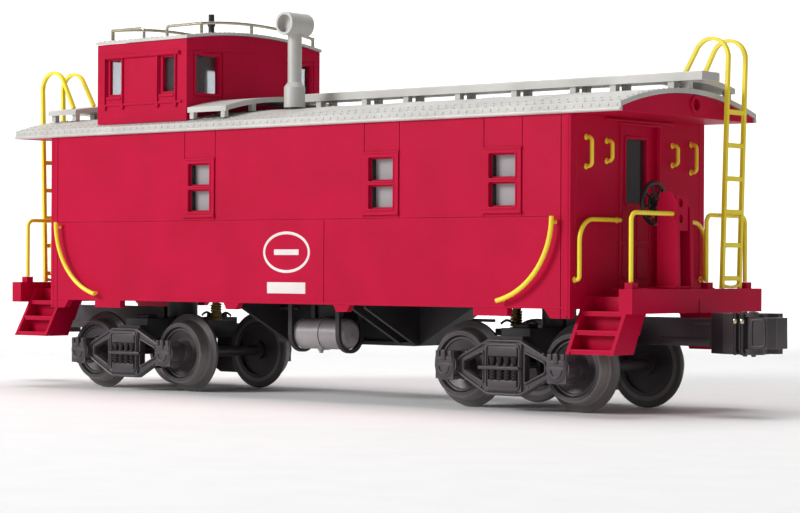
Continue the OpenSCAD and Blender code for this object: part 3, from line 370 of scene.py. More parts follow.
def cast_block(low, high, edge, axis=2):
    """A block with rounded edges: a rounded rectangle drawn at levels along an axis, where the levels near the
    two ends shrink by edge * (1 - cos t) and rise by edge * sin t, t a quarter turn. The ends are closed flat."""
    low, high = np.asarray(low, float), np.asarray(high, float)
    order = [(1, 2, 0), (2, 0, 1), (0, 1, 2)][axis]
    lo, hi = low[list(order)], high[list(order)]
    edge = min(edge, *(0.49 * (hi - lo)))
    t = np.linspace(0, np.pi / 2, 4)
    inset = np.concatenate([edge * (1 - np.sin(t)), edge * (1 - np.cos(t))])
    level = np.concatenate([lo[2] + edge * (1 - np.cos(t)), hi[2] - edge * (1 - np.sin(t))])
    quarter = np.arange(16) // 4
    a = (quarter + np.arange(16) % 4 / 3) * TURN / 4
    cx = np.where((quarter == 0) | (quarter == 3), hi[0] - edge, lo[0] + edge)
    cy = np.where(quarter < 2, hi[1] - edge, lo[1] + edge)
    r = (edge - inset)[:, None]
    flat = places(cx + r * np.cos(a), cy + r * np.sin(a), level[:, None])
    points = np.empty_like(flat)
    points[..., list(order)] = flat
    faces = quads(8, 16, wrap_cols=True)[:, ::-1].tolist()
    return points.reshape(-1, 3), faces + [list(range(16))[::-1], list(range(112, 128))]


def rivet_heads(at, facing, radius=0.32, height=0.22):
    """Low domes: at each place two rings of eight points at 1 and 0.72 of the radius and one point on top, each
    point being place + radius * (cos a * p + sin a * q) + rise * facing. All places are worked out together."""
    at, facing = np.asarray(at, float), unit(np.broadcast_to(facing, np.shape(at)).astype(float))
    p = unit(np.cross(facing, np.where(np.abs(facing[:, 2:3]) < 0.9, [Z_WAY], [X_WAY])))
    q = np.cross(facing, p)
    a = circle_angles(8)
    ring = np.cos(a)[None, :, None] * p[:, None] + np.sin(a)[None, :, None] * q[:, None]
    base = at[:, None] + ring * radius - facing[:, None] * 0.1
    mid = at[:, None] + ring * radius * 0.72 + facing[:, None] * height * 0.7
    top = (at + facing * height)[:, None]
    points = np.concatenate([base, mid, top], 1).reshape(-1, 3)
    i = np.arange(8)
    j = (i + 1) % 8
    first = np.arange(len(at))[:, None, None] * 17
    side = (np.stack([i, j, j + 8, i + 8], 1)[None] + first).reshape(-1, 4)
    cap = (np.stack([i + 8, j + 8, np.full(8, 16)], 1)[None] + first).reshape(-1, 3)
    foot = (i[::-1][None, None] + first).reshape(-1, 8)
    return points, side.tolist() + cap.tolist() + foot.tolist()


def helix(foot, rise, radius, wire, turns, steps, sides):
    """A coil of round wire: at the angle a the path is foot + radius * (cos a, sin a, 0), raised by rise times
    a over the last angle, and carried with the outward radius as its up direction."""
    a = np.linspace(0, turns * TURN, steps)
    out = places(np.cos(a), np.sin(a), 0)
    path = np.asarray(foot, float) + radius * out + places(0, 0, rise * a / a[-1])
    return carried(path, round_profile(wire, sides), out)


def upright_loop(flat, level, low, high, z0, z1):
    """The corners of an upright rectangle at a level along the axis flat, 0 for X or 1 for Y."""
    side, z = [low, high, high, low], [z0, z0, z1, z1]
    return places(level, side, z) if flat == 0 else places(side, level, z)


def joined(*parts):
    """Several shapes as one, their face numbers moved on by the points before them."""
    points, faces, count = [], [], 0
    for p, f in parts:
        points.append(p)
        faces += [[i + count for i in face] for face in f]
        count += len(p)
    return np.vstack(points), faces


def mirrored(part, axis):
    """The part on the other side, with its faces turned back the right way."""
    points, faces = part
    sign = np.ones(3)
    sign[axis] = -1
    return points * sign, [face[::-1] for face in faces]


def both_sides(part):
    """The part and its mirror image across the car."""
    return joined(part, mirrored(part, 1))


def as_drawn(part):
    """The part where it was drawn, for the front end."""
    return part


def half_turn(part):
    """The part turned half round the upright middle line, for the rear end."""
    return part[0] * np.array([-1, -1, 1]), part[1]


ENDS = (("front", as_drawn), ("rear", half_turn))


def make(name, part, mat, body, smooth=0.7):
    """The mesh of a part, in metres, riding on its body."""
    points, faces = part
    mesh = bpy.data.meshes.new(name)
    mesh.from_pydata((points * MM).tolist(), [], faces)
    mesh.validate()
    mesh.shade_smooth()
    mesh.set_sharp_from_angle(angle=smooth)
    mesh.materials.append(mat)
    obj = bpy.data.objects.new(name, mesh)
    bpy.context.scene.collection.objects.link(obj)
    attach(obj, body)
    return obj


def arch_top(y, radius, axis_z):
    """Height of an arched roof at a place across the car, and the direction it faces there."""
    z = axis_z + np.sqrt(radius ** 2 - y ** 2)
    return z, places(0, y, z - axis_z)


def roof_top(y):
    """The main roof's arch."""
    return arch_top(y, ROOF_R, ROOF_AXIS_Z)


def cupola_top(y):
    """The cupola roof's arch."""
    return arch_top(y, CUPOLA_R, CUPOLA_AXIS_Z)


def row(a, b, pitch):
    """Evenly spaced places from a to b, about a pitch apart."""
    return np.linspace(a, b, max(2, int(round(abs(b - a) / pitch)) + 1))


def under_cupola(x):
    """Whether a sheet joint at x would meet the cupola."""
    return cupola_low[0] - 1 < x < cupola_high[0] + 1


# ---- Roofs ----


def roof_rivets():
    """Rivet lines on the main roof: two along each eave, one up each eave's upright face, and one over the arch at
    every sheet joint and at both ends."""
    xs = row(-ROOF_END + 1.2, ROOF_END - 1.2, 2.55)
    at, facing = [], []
    for off in (1.3, 4.6):
        z, n = roof_top(np.full(len(xs), ROOF_HALF - off))
        at.append(places(xs, ROOF_HALF - off, z))
        facing.append(n)
    at.append(places(xs, ROOF_HALF, ROOF_EDGE_Z - 0.75))
    facing.append(np.tile(Y_WAY, (len(xs), 1)))
    flip = np.array([1, -1, 1])
    at += [side * flip for side in at]
    facing += [side * flip for side in facing]
    ys = row(-ROOF_HALF + 6.5, ROOF_HALF - 6.5, 2.2)
    for x in SHEET_JOINTS:
        y = ys[np.abs(ys) > (CUPOLA_HALF if under_cupola(x) else 0)]
        z, n = roof_top(y)
        at.append(places(x, y, z))
        facing.append(n)
    return rivet_heads(np.vstack(at), np.vstack(facing), 0.36, 0.26)


def eave_lips():
    """A rounded lip along the foot of each upright eave edge, and a low rib over the arch at each sheet joint."""
    lip_z = EAVE_Z + 0.45
    lip = strip([-ROOF_END + 0.1, ROOF_HALF, lip_z], [ROOF_END - 0.1, ROOF_HALF, lip_z], Y_WAY, 0.8, 0.4)
    y = np.linspace(-ROOF_HALF + 0.6, ROOF_HALF - 0.6, 49)
    z, n = roof_top(y)
    joints = [carried(places(x, y, z), rib_profile(1.5, 0.16, 4), unit(n))
              for x in SHEET_JOINTS[1:-1] if not under_cupola(x)]
    return joined(both_sides(lip), *joints)


def cupola_roof_rivets():
    """Rivet lines over both ends and the middle of the cupola roof and along its eaves."""
    at, facing = [], []
    y = row(-CUPOLA_ROOF_HALF + 1, CUPOLA_ROOF_HALF - 1, 1.9)
    z, n = cupola_top(y)
    for x in (cupola_roof_low[0] + 0.8, cupola_roof_high[0] - 0.8, (cupola_roof_low[0] + cupola_roof_high[0]) / 2):
        at.append(places(x, y, z))
        facing.append(n)
    xs = row(cupola_roof_low[0] + 2.6, cupola_roof_high[0] - 2.6, 2.2)
    for s in (-1, 1):
        y = np.full(len(xs), s * (CUPOLA_ROOF_HALF - 1))
        z, n = cupola_top(y)
        at.append(places(xs, y, z))
        facing.append(n)
    return rivet_heads(np.vstack(at), np.vstack(facing), 0.34, 0.26)


def walk_screws():
    """Screw heads in four rows along both centre walks."""
    at = []
    for node in ("roof_walk_front", "roof_walk_rear"):
        low, high = corners(node)
        x = row(low[0] + 2.5, high[0] - 2.5, 11)
        at += [places(x, y, WALK_TOP) for y in (-2.9, -1.0, 1.0, 2.9)]
    return rivet_heads(np.vstack(at), Z_WAY, 0.3, 0.14)


def walk_boards():
    """Three narrow boards laid along each centre walk, with gaps between them, on the walk's top."""
    half, parts = 1.2, []
    for node in ("roof_walk_front", "roof_walk_rear"):
        low, high = corners(node)
        for y in (-2.67, 0.0, 2.67):
            parts.append(cast_block([low[0] + 0.1, y - half, WALK_TOP - 0.3],
                                    [high[0] - 0.1, y + half, WALK_TOP + 0.22], 0.14, axis=0))
    return joined(*parts)


def jack_lips():
    """A thin rolled lip turned round each open mouth of the smoke jack's cross head."""
    x, z = (jack_low[0] + jack_high[0]) / 2, jack_high[2] - 3.2
    lip = [[3.2, -0.3], [3.28, 0.0], [3.2, 0.3], [2.62, 0.3], [2.56, 0.0], [2.62, -0.3]]
    mouths = (jack_low[1] + 0.32, jack_high[1] - 0.32)
    return joined(*[turned(lip, [x, y, z], Y_WAY, 40, ring=True) for y in mouths])


# ---- Body sides ----


def side_rivets():
    """Small rivet lines on both sides: under the belt seam and the eaves, along the sill, beside the upright seam
    and beside the windows."""
    xs = row(-HALF_LEN + 4, HALF_LEN - 4, 2.9)
    at = [places(xs, WALL_Y, z) for z in (BELT_Z - 0.9, EAVE_Z - 1.4, SILL_Z + 1.2)]
    low, high = row(SILL_Z + 3.5, BELT_Z - 3, 2.9), row(BELT_Z + 2.2, EAVE_Z - 3.6, 2.9)
    at += [places(x, WALL_Y, low) for x in (13.0, 15.0)]
    at += [places(x + s * 7.0, WALL_Y, high) for x in WINDOW_XS for s in (-1, 1)]
    return both_sides(rivet_heads(np.vstack(at), Y_WAY, 0.2, 0.085))


def window_trim():
    """Thin raised rims round every pane of the side windows, a sill under each window and a lip over it."""
    parts = []
    face, back, half, off = WALL_Y + SASH_RISE, WALL_Y - 0.1, 6.1, 0.62
    bars = ((BELT_Z + 1.0, BELT_Z + 1.75, face + 0.35, 0.18), (BELT_Z + 17.0, BELT_Z + 17.5, face + 0.2, 0.15))
    for x in WINDOW_XS:
        for z in PANE_ROWS:
            w = PANE_W / 2 + off
            loop = upright_loop(1, face, x - w, x + w, z - off, z + PANE_H + off)
            parts.append(rim(loop, 0.7, Y_WAY, 0.5, 0.18, 0.1))
        parts += [cast_block([x - half, back, z0], [x + half, front, z1], edge, axis=0)
                  for z0, z1, front, edge in bars]
    return both_sides(joined(*parts))


def painted_pane_shade():
    """Dark strips at the left and right of every side pane, between the wall's face and the glazing: painted shade
    inside the window openings.
    """
    parts = []
    for x in WINDOW_XS:
        for z in PANE_ROWS:
            for s in (-1, 1):
                edge = x + s * (PANE_W / 2 - 0.08)
                parts.append(cast_block([edge - 0.1, WALL_Y - 1.98, z + 0.02],
                                        [edge + 0.1, WALL_Y - 0.55, z + PANE_H - 0.02], 0.04))
    return both_sides(joined(*parts))


def belt_and_sill():
    """Narrow cover strips along both sides at the sill, and upright corner strips at the four corners."""
    end, post_x, z = HALF_LEN - 0.2, HALF_LEN - 0.8, SILL_Z + 0.35
    sill = strip([-end, WALL_Y, z], [end, WALL_Y, z], Y_WAY, 0.5, 0.12)
    post = strip([post_x, WALL_Y, SILL_Z - 1.5], [post_x, WALL_Y, EAVE_Z - 0.1], Y_WAY, 0.9, 0.14)
    return both_sides(joined(sill, post, mirrored(post, 0)))


def blank_mark():
    """A painted ring with a plain bar inside it and a plain bar below, on each side: an ellipse carried on a flat
    profile, and two flat strips."""
    a = circle_angles(64)
    x, z = -0.4, 40.0
    ring = places(x - np.cos(a) * 8.2, WALL_Y, z + np.sin(a) * 5.2)[::-1]
    parts = [carried(ring, rib_profile(0.75, 0.05, 4, 0.1), Y_WAY, closed=True)]
    for half, level, width in ((7.0, 30.4, 3.0), (4.5, z, 1.5)):
        parts.append(carried([[x - half, WALL_Y, level], [x + half, WALL_Y, level]],
                             rib_profile(width, 0.05, 4, 0.1), Y_WAY))
    one = joined(*parts)
    return joined(one, half_turn(one))


# ---- Cupola ----


def cupola_trim():
    """Rounded drip moulding over the side windows, rims round the cupola's panes, and small sill brackets."""
    sill_z, top_z = CUPOLA_PANE_Z, CUPOLA_PANE_Z + CUPOLA_PANE_H
    half = (cupola_high[0] - cupola_low[0]) / 2
    face, back = CUPOLA_HALF, CUPOLA_HALF - 0.1
    parts = []
    for reach, z, width, height, sides in ((half - 2.6, top_z + 1.0, 1.1, 0.95, 7),
                                           (half - 1.9, sill_z - 3.1, 0.7, 0.45, 5)):
        parts.append(strip([CUPOLA_X - reach, face, z], [CUPOLA_X + reach, face, z], Y_WAY, width, height, sides))
    for x in (CUPOLA_X - 10.9, CUPOLA_X + 10.9):
        for at in (x - 4.2, x + 3.2):
            parts.append(cast_block([at - 0.25, back, sill_z - 3.4], [at + 0.25, face + 0.5, top_z + 0.6], 0.12))
            parts.append(cast_block([at - 0.6, back, sill_z - 4.4], [at + 0.6, face + 0.6, sill_z - 3.3], 0.15))
        parts.append(cast_block([x - 3.6, back, sill_z - 1.5], [x + 2.6, face + 0.45, sill_z - 0.9], 0.15, axis=0))
    wall, sash_x, w = cupola_high[0], cupola_high[0] - 0.3, 5.2
    ends = []
    for s in (-1, 1):
        loop = upright_loop(0, sash_x, s * 19.3 - w, s * 19.3 + w, sill_z - 1.0, top_z + 0.9)
        ends.append(rim(loop, 0.9, X_WAY, 0.7, 0.35, 0.1))
        ends.append(strip([wall, s * 12.6, top_z - 10.6], [wall, s * 12.6, top_z + 2.4], X_WAY, 0.5, 0.14))
    y = np.linspace(-CUPOLA_HALF + 0.6, CUPOLA_HALF - 0.6, 41)
    arch_z = top_z + 2.9 + cupola_top(y)[0] - CUPOLA_EAVE_Z - CUPOLA_ARCH
    ends.append(carried(places(wall, y, arch_z), rib_profile(0.5, 0.18, 5), X_WAY))
    points, faces = mirrored(joined(*ends), 0)
    return joined(both_sides(joined(*parts)), *ends, (points + 2 * CUPOLA_X * X_WAY, faces))


for name, part, mat, slot in (
    ("roof_rivets", roof_rivets(), SILVER, "silver_roof"),
    ("roof_lips_and_joints", eave_lips(), SILVER, "silver_roof"),
    ("cupola_roof_rivets", cupola_roof_rivets(), SILVER, "silver_roof"),
    ("walk_screws", walk_screws(), SILVER, "silver_roof"),
    ("walk_boards", walk_boards(), SILVER, "silver_roof"),
    ("jack_lips", jack_lips(), SILVER, "silver_roof"),
    ("side_rivets", side_rivets(), RED, "red_body"),
    ("window_trim", window_trim(), RED, "red_body"),
    # The dark strips beside the side panes are painted shade inside the window openings.
    ("painted_pane_shade", painted_pane_shade(), TRIM_BLACK, "black_trim"),
    ("belt_and_sill_strips", belt_and_sill(), RED, "red_body"),
    ("side_marks", blank_mark(), MARK_WHITE, "red_body"),
    ("cupola_trim", cupola_trim(), RED, "red_body"),
):
    make(name, part, mat, "carbody")

# ---- End walls and platforms, drawn at +X ----


def end_wall_trim():
    """A ledge under the roof, the door's frame strips, corner strips, and on the door four panels' rims, the
    window's rim and three hinges."""
    wall, back, top = HALF_LEN, HALF_LEN - 0.1, DECK_Z + 41
    parts = [cast_block([back, -15.0, top + 0.75], [wall + 0.55, 15.0, top + 1.35], 0.18, axis=1),
             cast_block([back, -9.6, top + 0.05], [wall + 0.3, 9.6, top + 0.55], 0.12, axis=1)]
    for s in (-1, 1):
        y, corner_y = s * 8.75, s * 27.6
        parts.append(cast_block([back, y - 0.3, DECK_Z + 0.4], [wall + 0.25, y + 0.3, top], 0.12))
        parts.append(strip([wall, corner_y, DECK_Z + 0.3], [wall, corner_y, EAVE_Z - 0.3], X_WAY, 0.8, 0.14))
    door = wall - 1.2
    for z0, z1 in ((2.6, 10.6), (12.0, 19.4)):
        for y0, y1 in ((-5.9, -0.6), (0.6, 5.9)):
            loop = upright_loop(0, door, y0, y1, DECK_Z + z0, DECK_Z + z1)
            parts.append(rim(loop, 0.6, X_WAY, 0.55, 0.22, 0.1))
    loop = upright_loop(0, door, -4.85, 4.85, DECK_Z + 21.0, DECK_Z + 38.1)
    parts.append(rim(loop, 0.9, X_WAY, 0.8, 0.3, 0.1))
    hinge = [[0.34, 0], [0.38, 0.1], [0.38, 1.9], [0.34, 2.0]]
    parts += [turned(hinge, [door + 0.1, -7.6, DECK_Z + z], Z_WAY, 12) for z in (5, 20.4, 36)]
    return joined(*parts)


def end_knob():
    """The door knob, turned, on its rose."""
    profile = [[0.95, -0.1], [0.95, 0.12], [0.4, 0.25], [0.36, 0.5], [0.62, 0.62], [0.7, 0.85], [0.5, 1.08],
               [0.1, 1.15]]
    return turned(profile, [HALF_LEN - 1.2, 6.6, DECK_Z + 18.6], X_WAY, 20)


def end_rivets():
    """Rivet lines up both edges of the end wall and across the roof's end panel."""
    zs = row(DECK_Z + 2, EAVE_Z - 2, 3.2)
    at = [places(HALF_LEN, y, zs) for y in (-28.8, 28.8)]
    at.append(places(ROOF_END - 0.5, row(-27.5, 27.5, 2.9), EAVE_Z + 0.45))
    return rivet_heads(np.vstack(at), X_WAY, 0.2, 0.09)


def deck_boards():
    """Raised boards across the platform's deck, with gaps between them."""
    xs = np.linspace(HALF_LEN + 1.0, BEAM_FACE - 4.9, 6)
    return joined(*[cast_block([a + 0.15, -15.1, DECK_Z - 0.2], [b - 0.15, 15.1, DECK_Z + 0.2], 0.12, axis=1)
                    for a, b in zip(xs[:-1], xs[1:])])


def step_lips():
    """A rounded nosing on the front of each of the three steps, ribs on its tread, and the riser behind it, on
    both sides."""
    x0, x1 = HALF_LEN + 1.1, HALF_LEN + 13.0
    slope = 7.7 / 14
    parts = []
    for z, top in ((STEP_LOW + 1, STEP_LOW + 4.6), (STEP_LOW + 5.6, STEP_LOW + 9.2),
                   (STEP_LOW + 10.2, STEP_TOP - 0.2)):
        y = STEP_TOP_Y + (STEP_TOP - z) * slope
        parts.append(strip([x0, y - 0.45, z], [x1, y - 0.45, z], Z_WAY, 0.7, 0.22))
        parts.append(cast_block([x0 - 0.2, y - 5.6, z - 0.2], [x1 + 0.2, y - 4.9, top + 0.1], 0.15, axis=0))
        parts += [strip([x0 + 0.5, y - back, z], [x1 - 0.5, y - back, z], Z_WAY, 0.3, 0.12, 3)
                  for back in (1.5, 2.4, 3.3)]
    return both_sides(joined(*parts))


def grab_feet():
    """Round feet turned where every grab iron and railing meets the end wall."""
    foot = [[0.78, -0.05], [0.78, 0.15], [0.6, 0.3], [0.3, 0.32]]
    spots = ((23.3, SILL_Z + 35.0), (23.3, SILL_Z + 42.2), (14.6, SILL_Z + 36.6), (14.6, SILL_Z + 41.6),
             (10.2, DECK_Z + 17), (27.9, DECK_Z + 2.2))
    return joined(*[turned(foot, [HALF_LEN, s * y, z], X_WAY, 14) for s in (-1, 1) for y, z in spots])


def ladder_foot(node):
    """The bent foot that joins a ladder's two side bars on the deck: a flat strip carried round a U."""
    low, high = corners(node)
    x = high[0] - 2.05 if high[0] > 0 else low[0] + 2.05
    y0, y1 = low[1] + 0.55, high[1] - 0.55
    mid, half = (y0 + y1) / 2, (y1 - y0) / 2
    u = np.linspace(0, np.pi, 13)
    path = places(x, mid - half * np.cos(u), DECK_Z + 1.9 - 1.45 * np.sin(u) ** 0.5)
    return carried(path, [[0.35, -0.45], [0.35, 0.45], [-0.35, 0.45], [-0.35, -0.45]], X_WAY)


for end, turn in ENDS:
    for name, part, mat, slot in (
        ("end_wall_trim", end_wall_trim(), RED, "red_body"),
        ("door_knob", end_knob(), BRASS, "brass_fittings"),
        ("end_rivets", end_rivets(), RED, "red_body"),
        ("deck_boards", deck_boards(), RED, "red_body"),
        ("step_nosings", step_lips(), RED, "red_body"),
        ("grab_feet", grab_feet(), YELLOW, "yellow_trim"),
    ):
        make(f"{name}_{end}", turn(part), mat, "carbody")
    make(f"ladder_foot_{end}", ladder_foot(f"ladder_{end}"), YELLOW, "carbody")

# ---- Hand brake, drawn at +X ----


def brake_wheel():
    """Hand wheel: a round rim and an inner ring carried round circles, eight spokes that swell towards the rim,
    and a turned hub with a nut."""
    centre = np.array([HAND_WHEEL_X, STAND_Y, HAND_WHEEL_Z])
    a = circle_angles(72)
    circle = places(0, np.cos(a), np.sin(a))
    parts = [carried(centre + 5.1 * circle, round_profile(0.58, 14), X_WAY, closed=True),
             carried(centre + 2.2 * circle, round_profile(0.36, 10), X_WAY, closed=True)]
    t = np.linspace(0, 1, 9)
    width = 0.3 + 0.34 * np.abs(t - 0.35) ** 1.4
    section = circle_angles(10)
    faces = quads(9, 10, wrap_cols=True)[:, ::-1].tolist() + [list(range(10)), list(range(80, 90))[::-1]]
    for b in circle_angles(8) + 0.2:
        way, side = np.array([0.0, np.cos(b), np.sin(b)]), np.array([0.0, -np.sin(b), np.cos(b)])
        path = centre + (0.9 + 4.1 * t)[:, None] * way + 0.25 * X_WAY * np.sin(t * np.pi)[:, None]
        points = (path[:, None] + side * (np.cos(section)[None, :, None] * width[:, None, None])
                  + X_WAY * (np.sin(section)[None, :, None] * 0.32))
        parts.append((points.reshape(-1, 3), faces))
    hub = [[0.5, -1.3], [0.8, -1.25], [0.85, -0.9], [1.25, -0.75], [1.35, -0.3], [1.35, 0.6], [1.0, 0.8],
           [0.8, 0.85], [0.8, 5.1], [0.6, 5.2]]
    return joined(*parts, turned(hub, centre, X_WAY, 24))


def stand_fittings():
    """Three bolt heads on the brake stand's side, the boss the shaft runs in, and the stand's foot plate."""
    x, y = stand_low[:2]
    bolts = rivet_heads(places(x + 2.6, y, DECK_Z + np.array([3.0, 9.0, 13.0])), -Y_WAY, 0.45, 0.25)
    boss = turned([[1.9, 0], [1.9, 0.3], [1.6, 0.5], [0.95, 0.55]], [x + 0.05, STAND_Y, HAND_WHEEL_Z], -X_WAY, 24)
    foot = cast_block([x - 0.5, y - 0.5, DECK_Z + 0.02],
                      [stand_high[0] - 0.2, stand_high[1] + 0.5, DECK_Z + 0.75], 0.25)
    return joined(bolts, boss, foot)


def brake_chain():
    """Short chain from the stand's shaft down to the deck: closed oval links, each an ellipse carried on a round
    profile, turned a quarter from the one before."""
    a = circle_angles(16)
    along, across = places(np.cos(a) * 0.48, 0, np.sin(a)), places(0, np.cos(a) * 0.48, np.sin(a))
    parts = []
    for k in range(9):
        middle = np.array([stand_high[0] - 2.6, STAND_Y, HAND_WHEEL_Z - 2.2 - k * 1.55])
        link, up = (across, X_WAY) if k % 2 else (along, Y_WAY)
        parts.append(carried(link + middle, round_profile(0.19, 6), up, closed=True))
    return joined(*parts)


for end, turn in ENDS:
    hand_wheel = make(f"hand_wheel_{end}", turn(brake_wheel()), TRIM_BLACK, "carbody")
    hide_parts(f"brake_wheel_{end}")
    make(f"stand_fittings_{end}", turn(stand_fittings()), RED, "carbody")
    make(f"brake_chain_{end}", turn(brake_chain()), TRIM_BLACK, "carbody")

# ---- Trucks, drawn at +X ----


def on_frame(points, lift=0.0):
    """Points given as (x from the truck's middle, height), placed on the side frame's face or lift above it."""
    p = np.array(points, float)
    return places(TRUCK_X + p[:, 0], FRAME_FACE + lift, p[:, 1])


def frame_ribs():
    """Rounded ribs carried round the side frame: along its outline, round both triangular holes, and round the
    spring pocket, with a bar across the pocket and a plate over and under the springs."""
    box_x = HALF_BASE - 2.9
    outline = [[-5.0, FRAME_TOP - 0.35], [5.0, FRAME_TOP - 0.35], [box_x, AXLE_Z + 1.75], [box_x, AXLE_Z - 1.75],
               [5.2, FRAME_LOW + 0.4], [-5.2, FRAME_LOW + 0.4], [-box_x, AXLE_Z - 1.75], [-box_x, AXLE_Z + 1.75]]
    parts = [rim(on_frame(outline)[::-1], 1.3, Y_WAY, 0.75, 0.55)]
    tip = HALF_BASE - 4.8
    for s in (-1, 1):
        hole = [[s * 6.5, FRAME_TOP - 3.0], [s * tip, AXLE_Z + 1.25], [s * tip, AXLE_Z - 1.25],
                [s * 6.5, FRAME_LOW + 3.2]]
        parts.append(rim(on_frame(hole[::s]), 0.7, Y_WAY, 0.6, 0.5))
    low, high = FRAME_LOW + 1.7, FRAME_TOP - 1.3
    pocket = [[-5.3, low], [5.3, low], [5.3, high], [-5.3, high]]
    parts.append(rim(on_frame(pocket, 0.6), 1.5, Y_WAY, 0.6, 0.4))
    bars = ((-7.4, 5.6, 1.6, FRAME_LOW + 6.6, FRAME_LOW + 7.5), (-4.6, 4.6, 1.0, FRAME_LOW + 1.3, FRAME_LOW + 4.1),
            (-4.6, 4.6, 0.9, FRAME_LOW + 9.9, FRAME_TOP - 1.6))
    for x0, x1, depth, z0, z1 in bars:
        parts.append(cast_block([TRUCK_X + x0, FRAME_FACE - 0.2, z0], [TRUCK_X + x1, FRAME_FACE + depth, z1],
                                0.25, axis=0))
    return joined(*parts)


def journal_lids():
    """Lids on the journal boxes: a cover with a round foot, three hinge lugs along its top with the middle one
    raised, and a curved grip, an arc of an ellipse carried on a rib, below them."""
    cover = [[3.3, -4.6], [3.3, -0.5], [2.9, 0.0], [2.3, 0.25], [0.6, 0.3]]
    # Middle, half width, reach behind and before the box's face, foot and top over the axle, and edge.
    lugs = ((0, 2.75, 1.0, 0.3, 0.2, 2.3, 0.4), (0, 0.7, 0.6, 0.75, 1.2, 3.9, 0.3),
            (-2, 0.6, 0.6, 0.45, 1.8, 3.7, 0.25), (2, 0.6, 0.6, 0.45, 1.8, 3.7, 0.25))
    a = np.linspace(np.pi * 1.02, np.pi * 1.98, 15)
    parts = []
    for x in (TRUCK_X - HALF_BASE, TRUCK_X + HALF_BASE):
        parts.append(turned(cover, [x, BOX_FACE, AXLE_Z - 0.7], Y_WAY, 36))
        for at, half, back, front, z0, z1, edge in lugs:
            parts.append(cast_block([x + at - half, BOX_FACE - back, AXLE_Z + z0],
                                    [x + at + half, BOX_FACE + front, AXLE_Z + z1], edge, axis=1))
        grip = places(x + 1.7 * np.cos(a), BOX_FACE + 0.2, AXLE_Z - 0.1 + 2.1 * np.sin(a))
        parts.append(carried(grip[::-1], rib_profile(0.6, 0.5, 5, 0.3), Y_WAY))
    return joined(*parts)


def truck_springs():
    """Four coil springs below the side frame's cross bar, and a tapered post above it over each of them."""
    parts = []
    for x in TRUCK_X + 2.3 * np.array([-1.5, -0.5, 0.5, 1.5]):
        parts.append(helix([x, FRAME_FACE + 0.15, FRAME_LOW + 4.0], 2.7, 0.9, 0.27, 3.5, 49, 7))
        parts.append(turned([[0.45, 0], [0.5, 0.3], [1.1, 2.2], [1.1, 2.5]],
                            [x, FRAME_FACE + 0.2, FRAME_LOW + 7.4], Z_WAY, 14))
    return joined(*parts)


def frame_bolts():
    """Bolt heads and rivets on the side frame's arms and corners."""
    arm = HALF_BASE - 5.6
    spots = ((arm, AXLE_Z + 3.4), (arm, AXLE_Z - 3.5), (3.6, FRAME_LOW + 0.95), (7.4, FRAME_LOW + 2.2))
    return rivet_heads(on_frame([[s * x, z] for x, z in spots for s in (-1, 1)]), Y_WAY, 0.42, 0.35)


def brake_shoes():
    """Brake beams across the truck inside each axle, with a curved shoe that follows each wheel's tread."""
    shoe = [[-1.4, 0], [1.4, 0], [1.2, 1.1], [-1.2, 1.1]]
    radius, a = 9.75, np.linspace(-0.42, 0.42, 9)
    parts = []
    for s in (-1, 1):
        axle = TRUCK_X + s * HALF_BASE
        out = places(-s * np.cos(a), 0, np.sin(a))
        for y in (-17.6, 17.6):
            parts.append(carried(np.array([axle, y, AXLE_Z - 0.5]) + radius * out, shoe, out))
        x = axle - s * 11.4
        parts.append(cast_block([x - 0.6, -17.8, AXLE_Z - 1.3], [x + 0.6, 17.8, AXLE_Z - 0.1], 0.3, axis=1))
    return joined(*parts)


def bolster_fittings():
    """The bolster's side bearing pads, and a bent wire clip beside the brass post."""
    parts = [cast_block([TRUCK_X - 2.6, y - 2.0, SILL_Z - 5.5], [TRUCK_X + 2.6, y + 2.0, SILL_Z - 4.2], 0.4)
             for y in (-14.5, 14.5)]
    t = np.linspace(0, 1, 24)
    wire = places(TRUCK_X - 15 + 12 * t, -5.2, SILL_Z - 4.6 + 0.9 * np.sin(t * 3 * np.pi))
    return joined(*parts, carried(wire, round_profile(0.35, 8), Y_WAY))


def post_spring():
    """The brass spring as a true helix on its turned post."""
    low, high = corners("spring_post_front")
    foot = np.array([(low[0] + high[0]) / 2, (low[1] + high[1]) / 2, low[2]])
    tall = high[2] - low[2]
    post = turned([[1.7, 0], [1.7, 0.25], [1.0, 0.3], [1.0, tall - 0.4], [0.9, tall - 0.02]], foot, Z_WAY, 24)
    return joined(helix(foot + 0.35 * Z_WAY, 4.55, 1.38, 0.32, 6, 150, 9), post)


def wheel_rings(k):
    """Turned detail on one wheelset's outer faces: a raised ring inside the rim and a stepped hub."""
    ring = [[7.05, -0.2], [6.9, 0.25], [6.5, 0.25], [6.35, -0.2]]
    hub = [[2.95, -0.2], [2.8, 0.2], [2.3, 0.32], [1.6, 0.34]]
    parts = []
    for s in (-1, 1):
        parts.append(turned(ring, [axle_x[k], s * (WHEEL_FACE - 1.0), AXLE_Z], s * Y_WAY, 64, ring=True))
        parts.append(turned(hub, [axle_x[k], s * (WHEEL_FACE + 0.6), AXLE_Z], s * Y_WAY, 40))
    return joined(*parts)


for end, turn in ENDS:
    for name, part, mat in (
        ("frame_ribs", both_sides(frame_ribs()), CASTING),
        ("journal_lids", both_sides(journal_lids()), CASTING),
        ("truck_springs", both_sides(truck_springs()), SPRING_STEEL),
        ("frame_bolts", both_sides(frame_bolts()), CASTING),
        ("brake_shoes", brake_shoes(), UNDER_BLACK),
        ("bolster_fittings", bolster_fittings(), UNDER_BLACK),
    ):
        make(f"{name}_{end}", turn(part), mat, f"truck_{end}")
    brass = make(f"post_spring_{end}", turn(post_spring()), BRASS, f"truck_{end}")
    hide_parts(f"spring_post_{end}")
WHEEL_BODY = {1: "wheels_front_outer", 2: "wheels_front_inner", 3: "wheels_rear_inner", 4: "wheels_rear_outer"}
for k, body in WHEEL_BODY.items():
    make(f"wheel_rings_{k}", wheel_rings(k), NODE_FINISH[f"wheelset_{k}"], body)

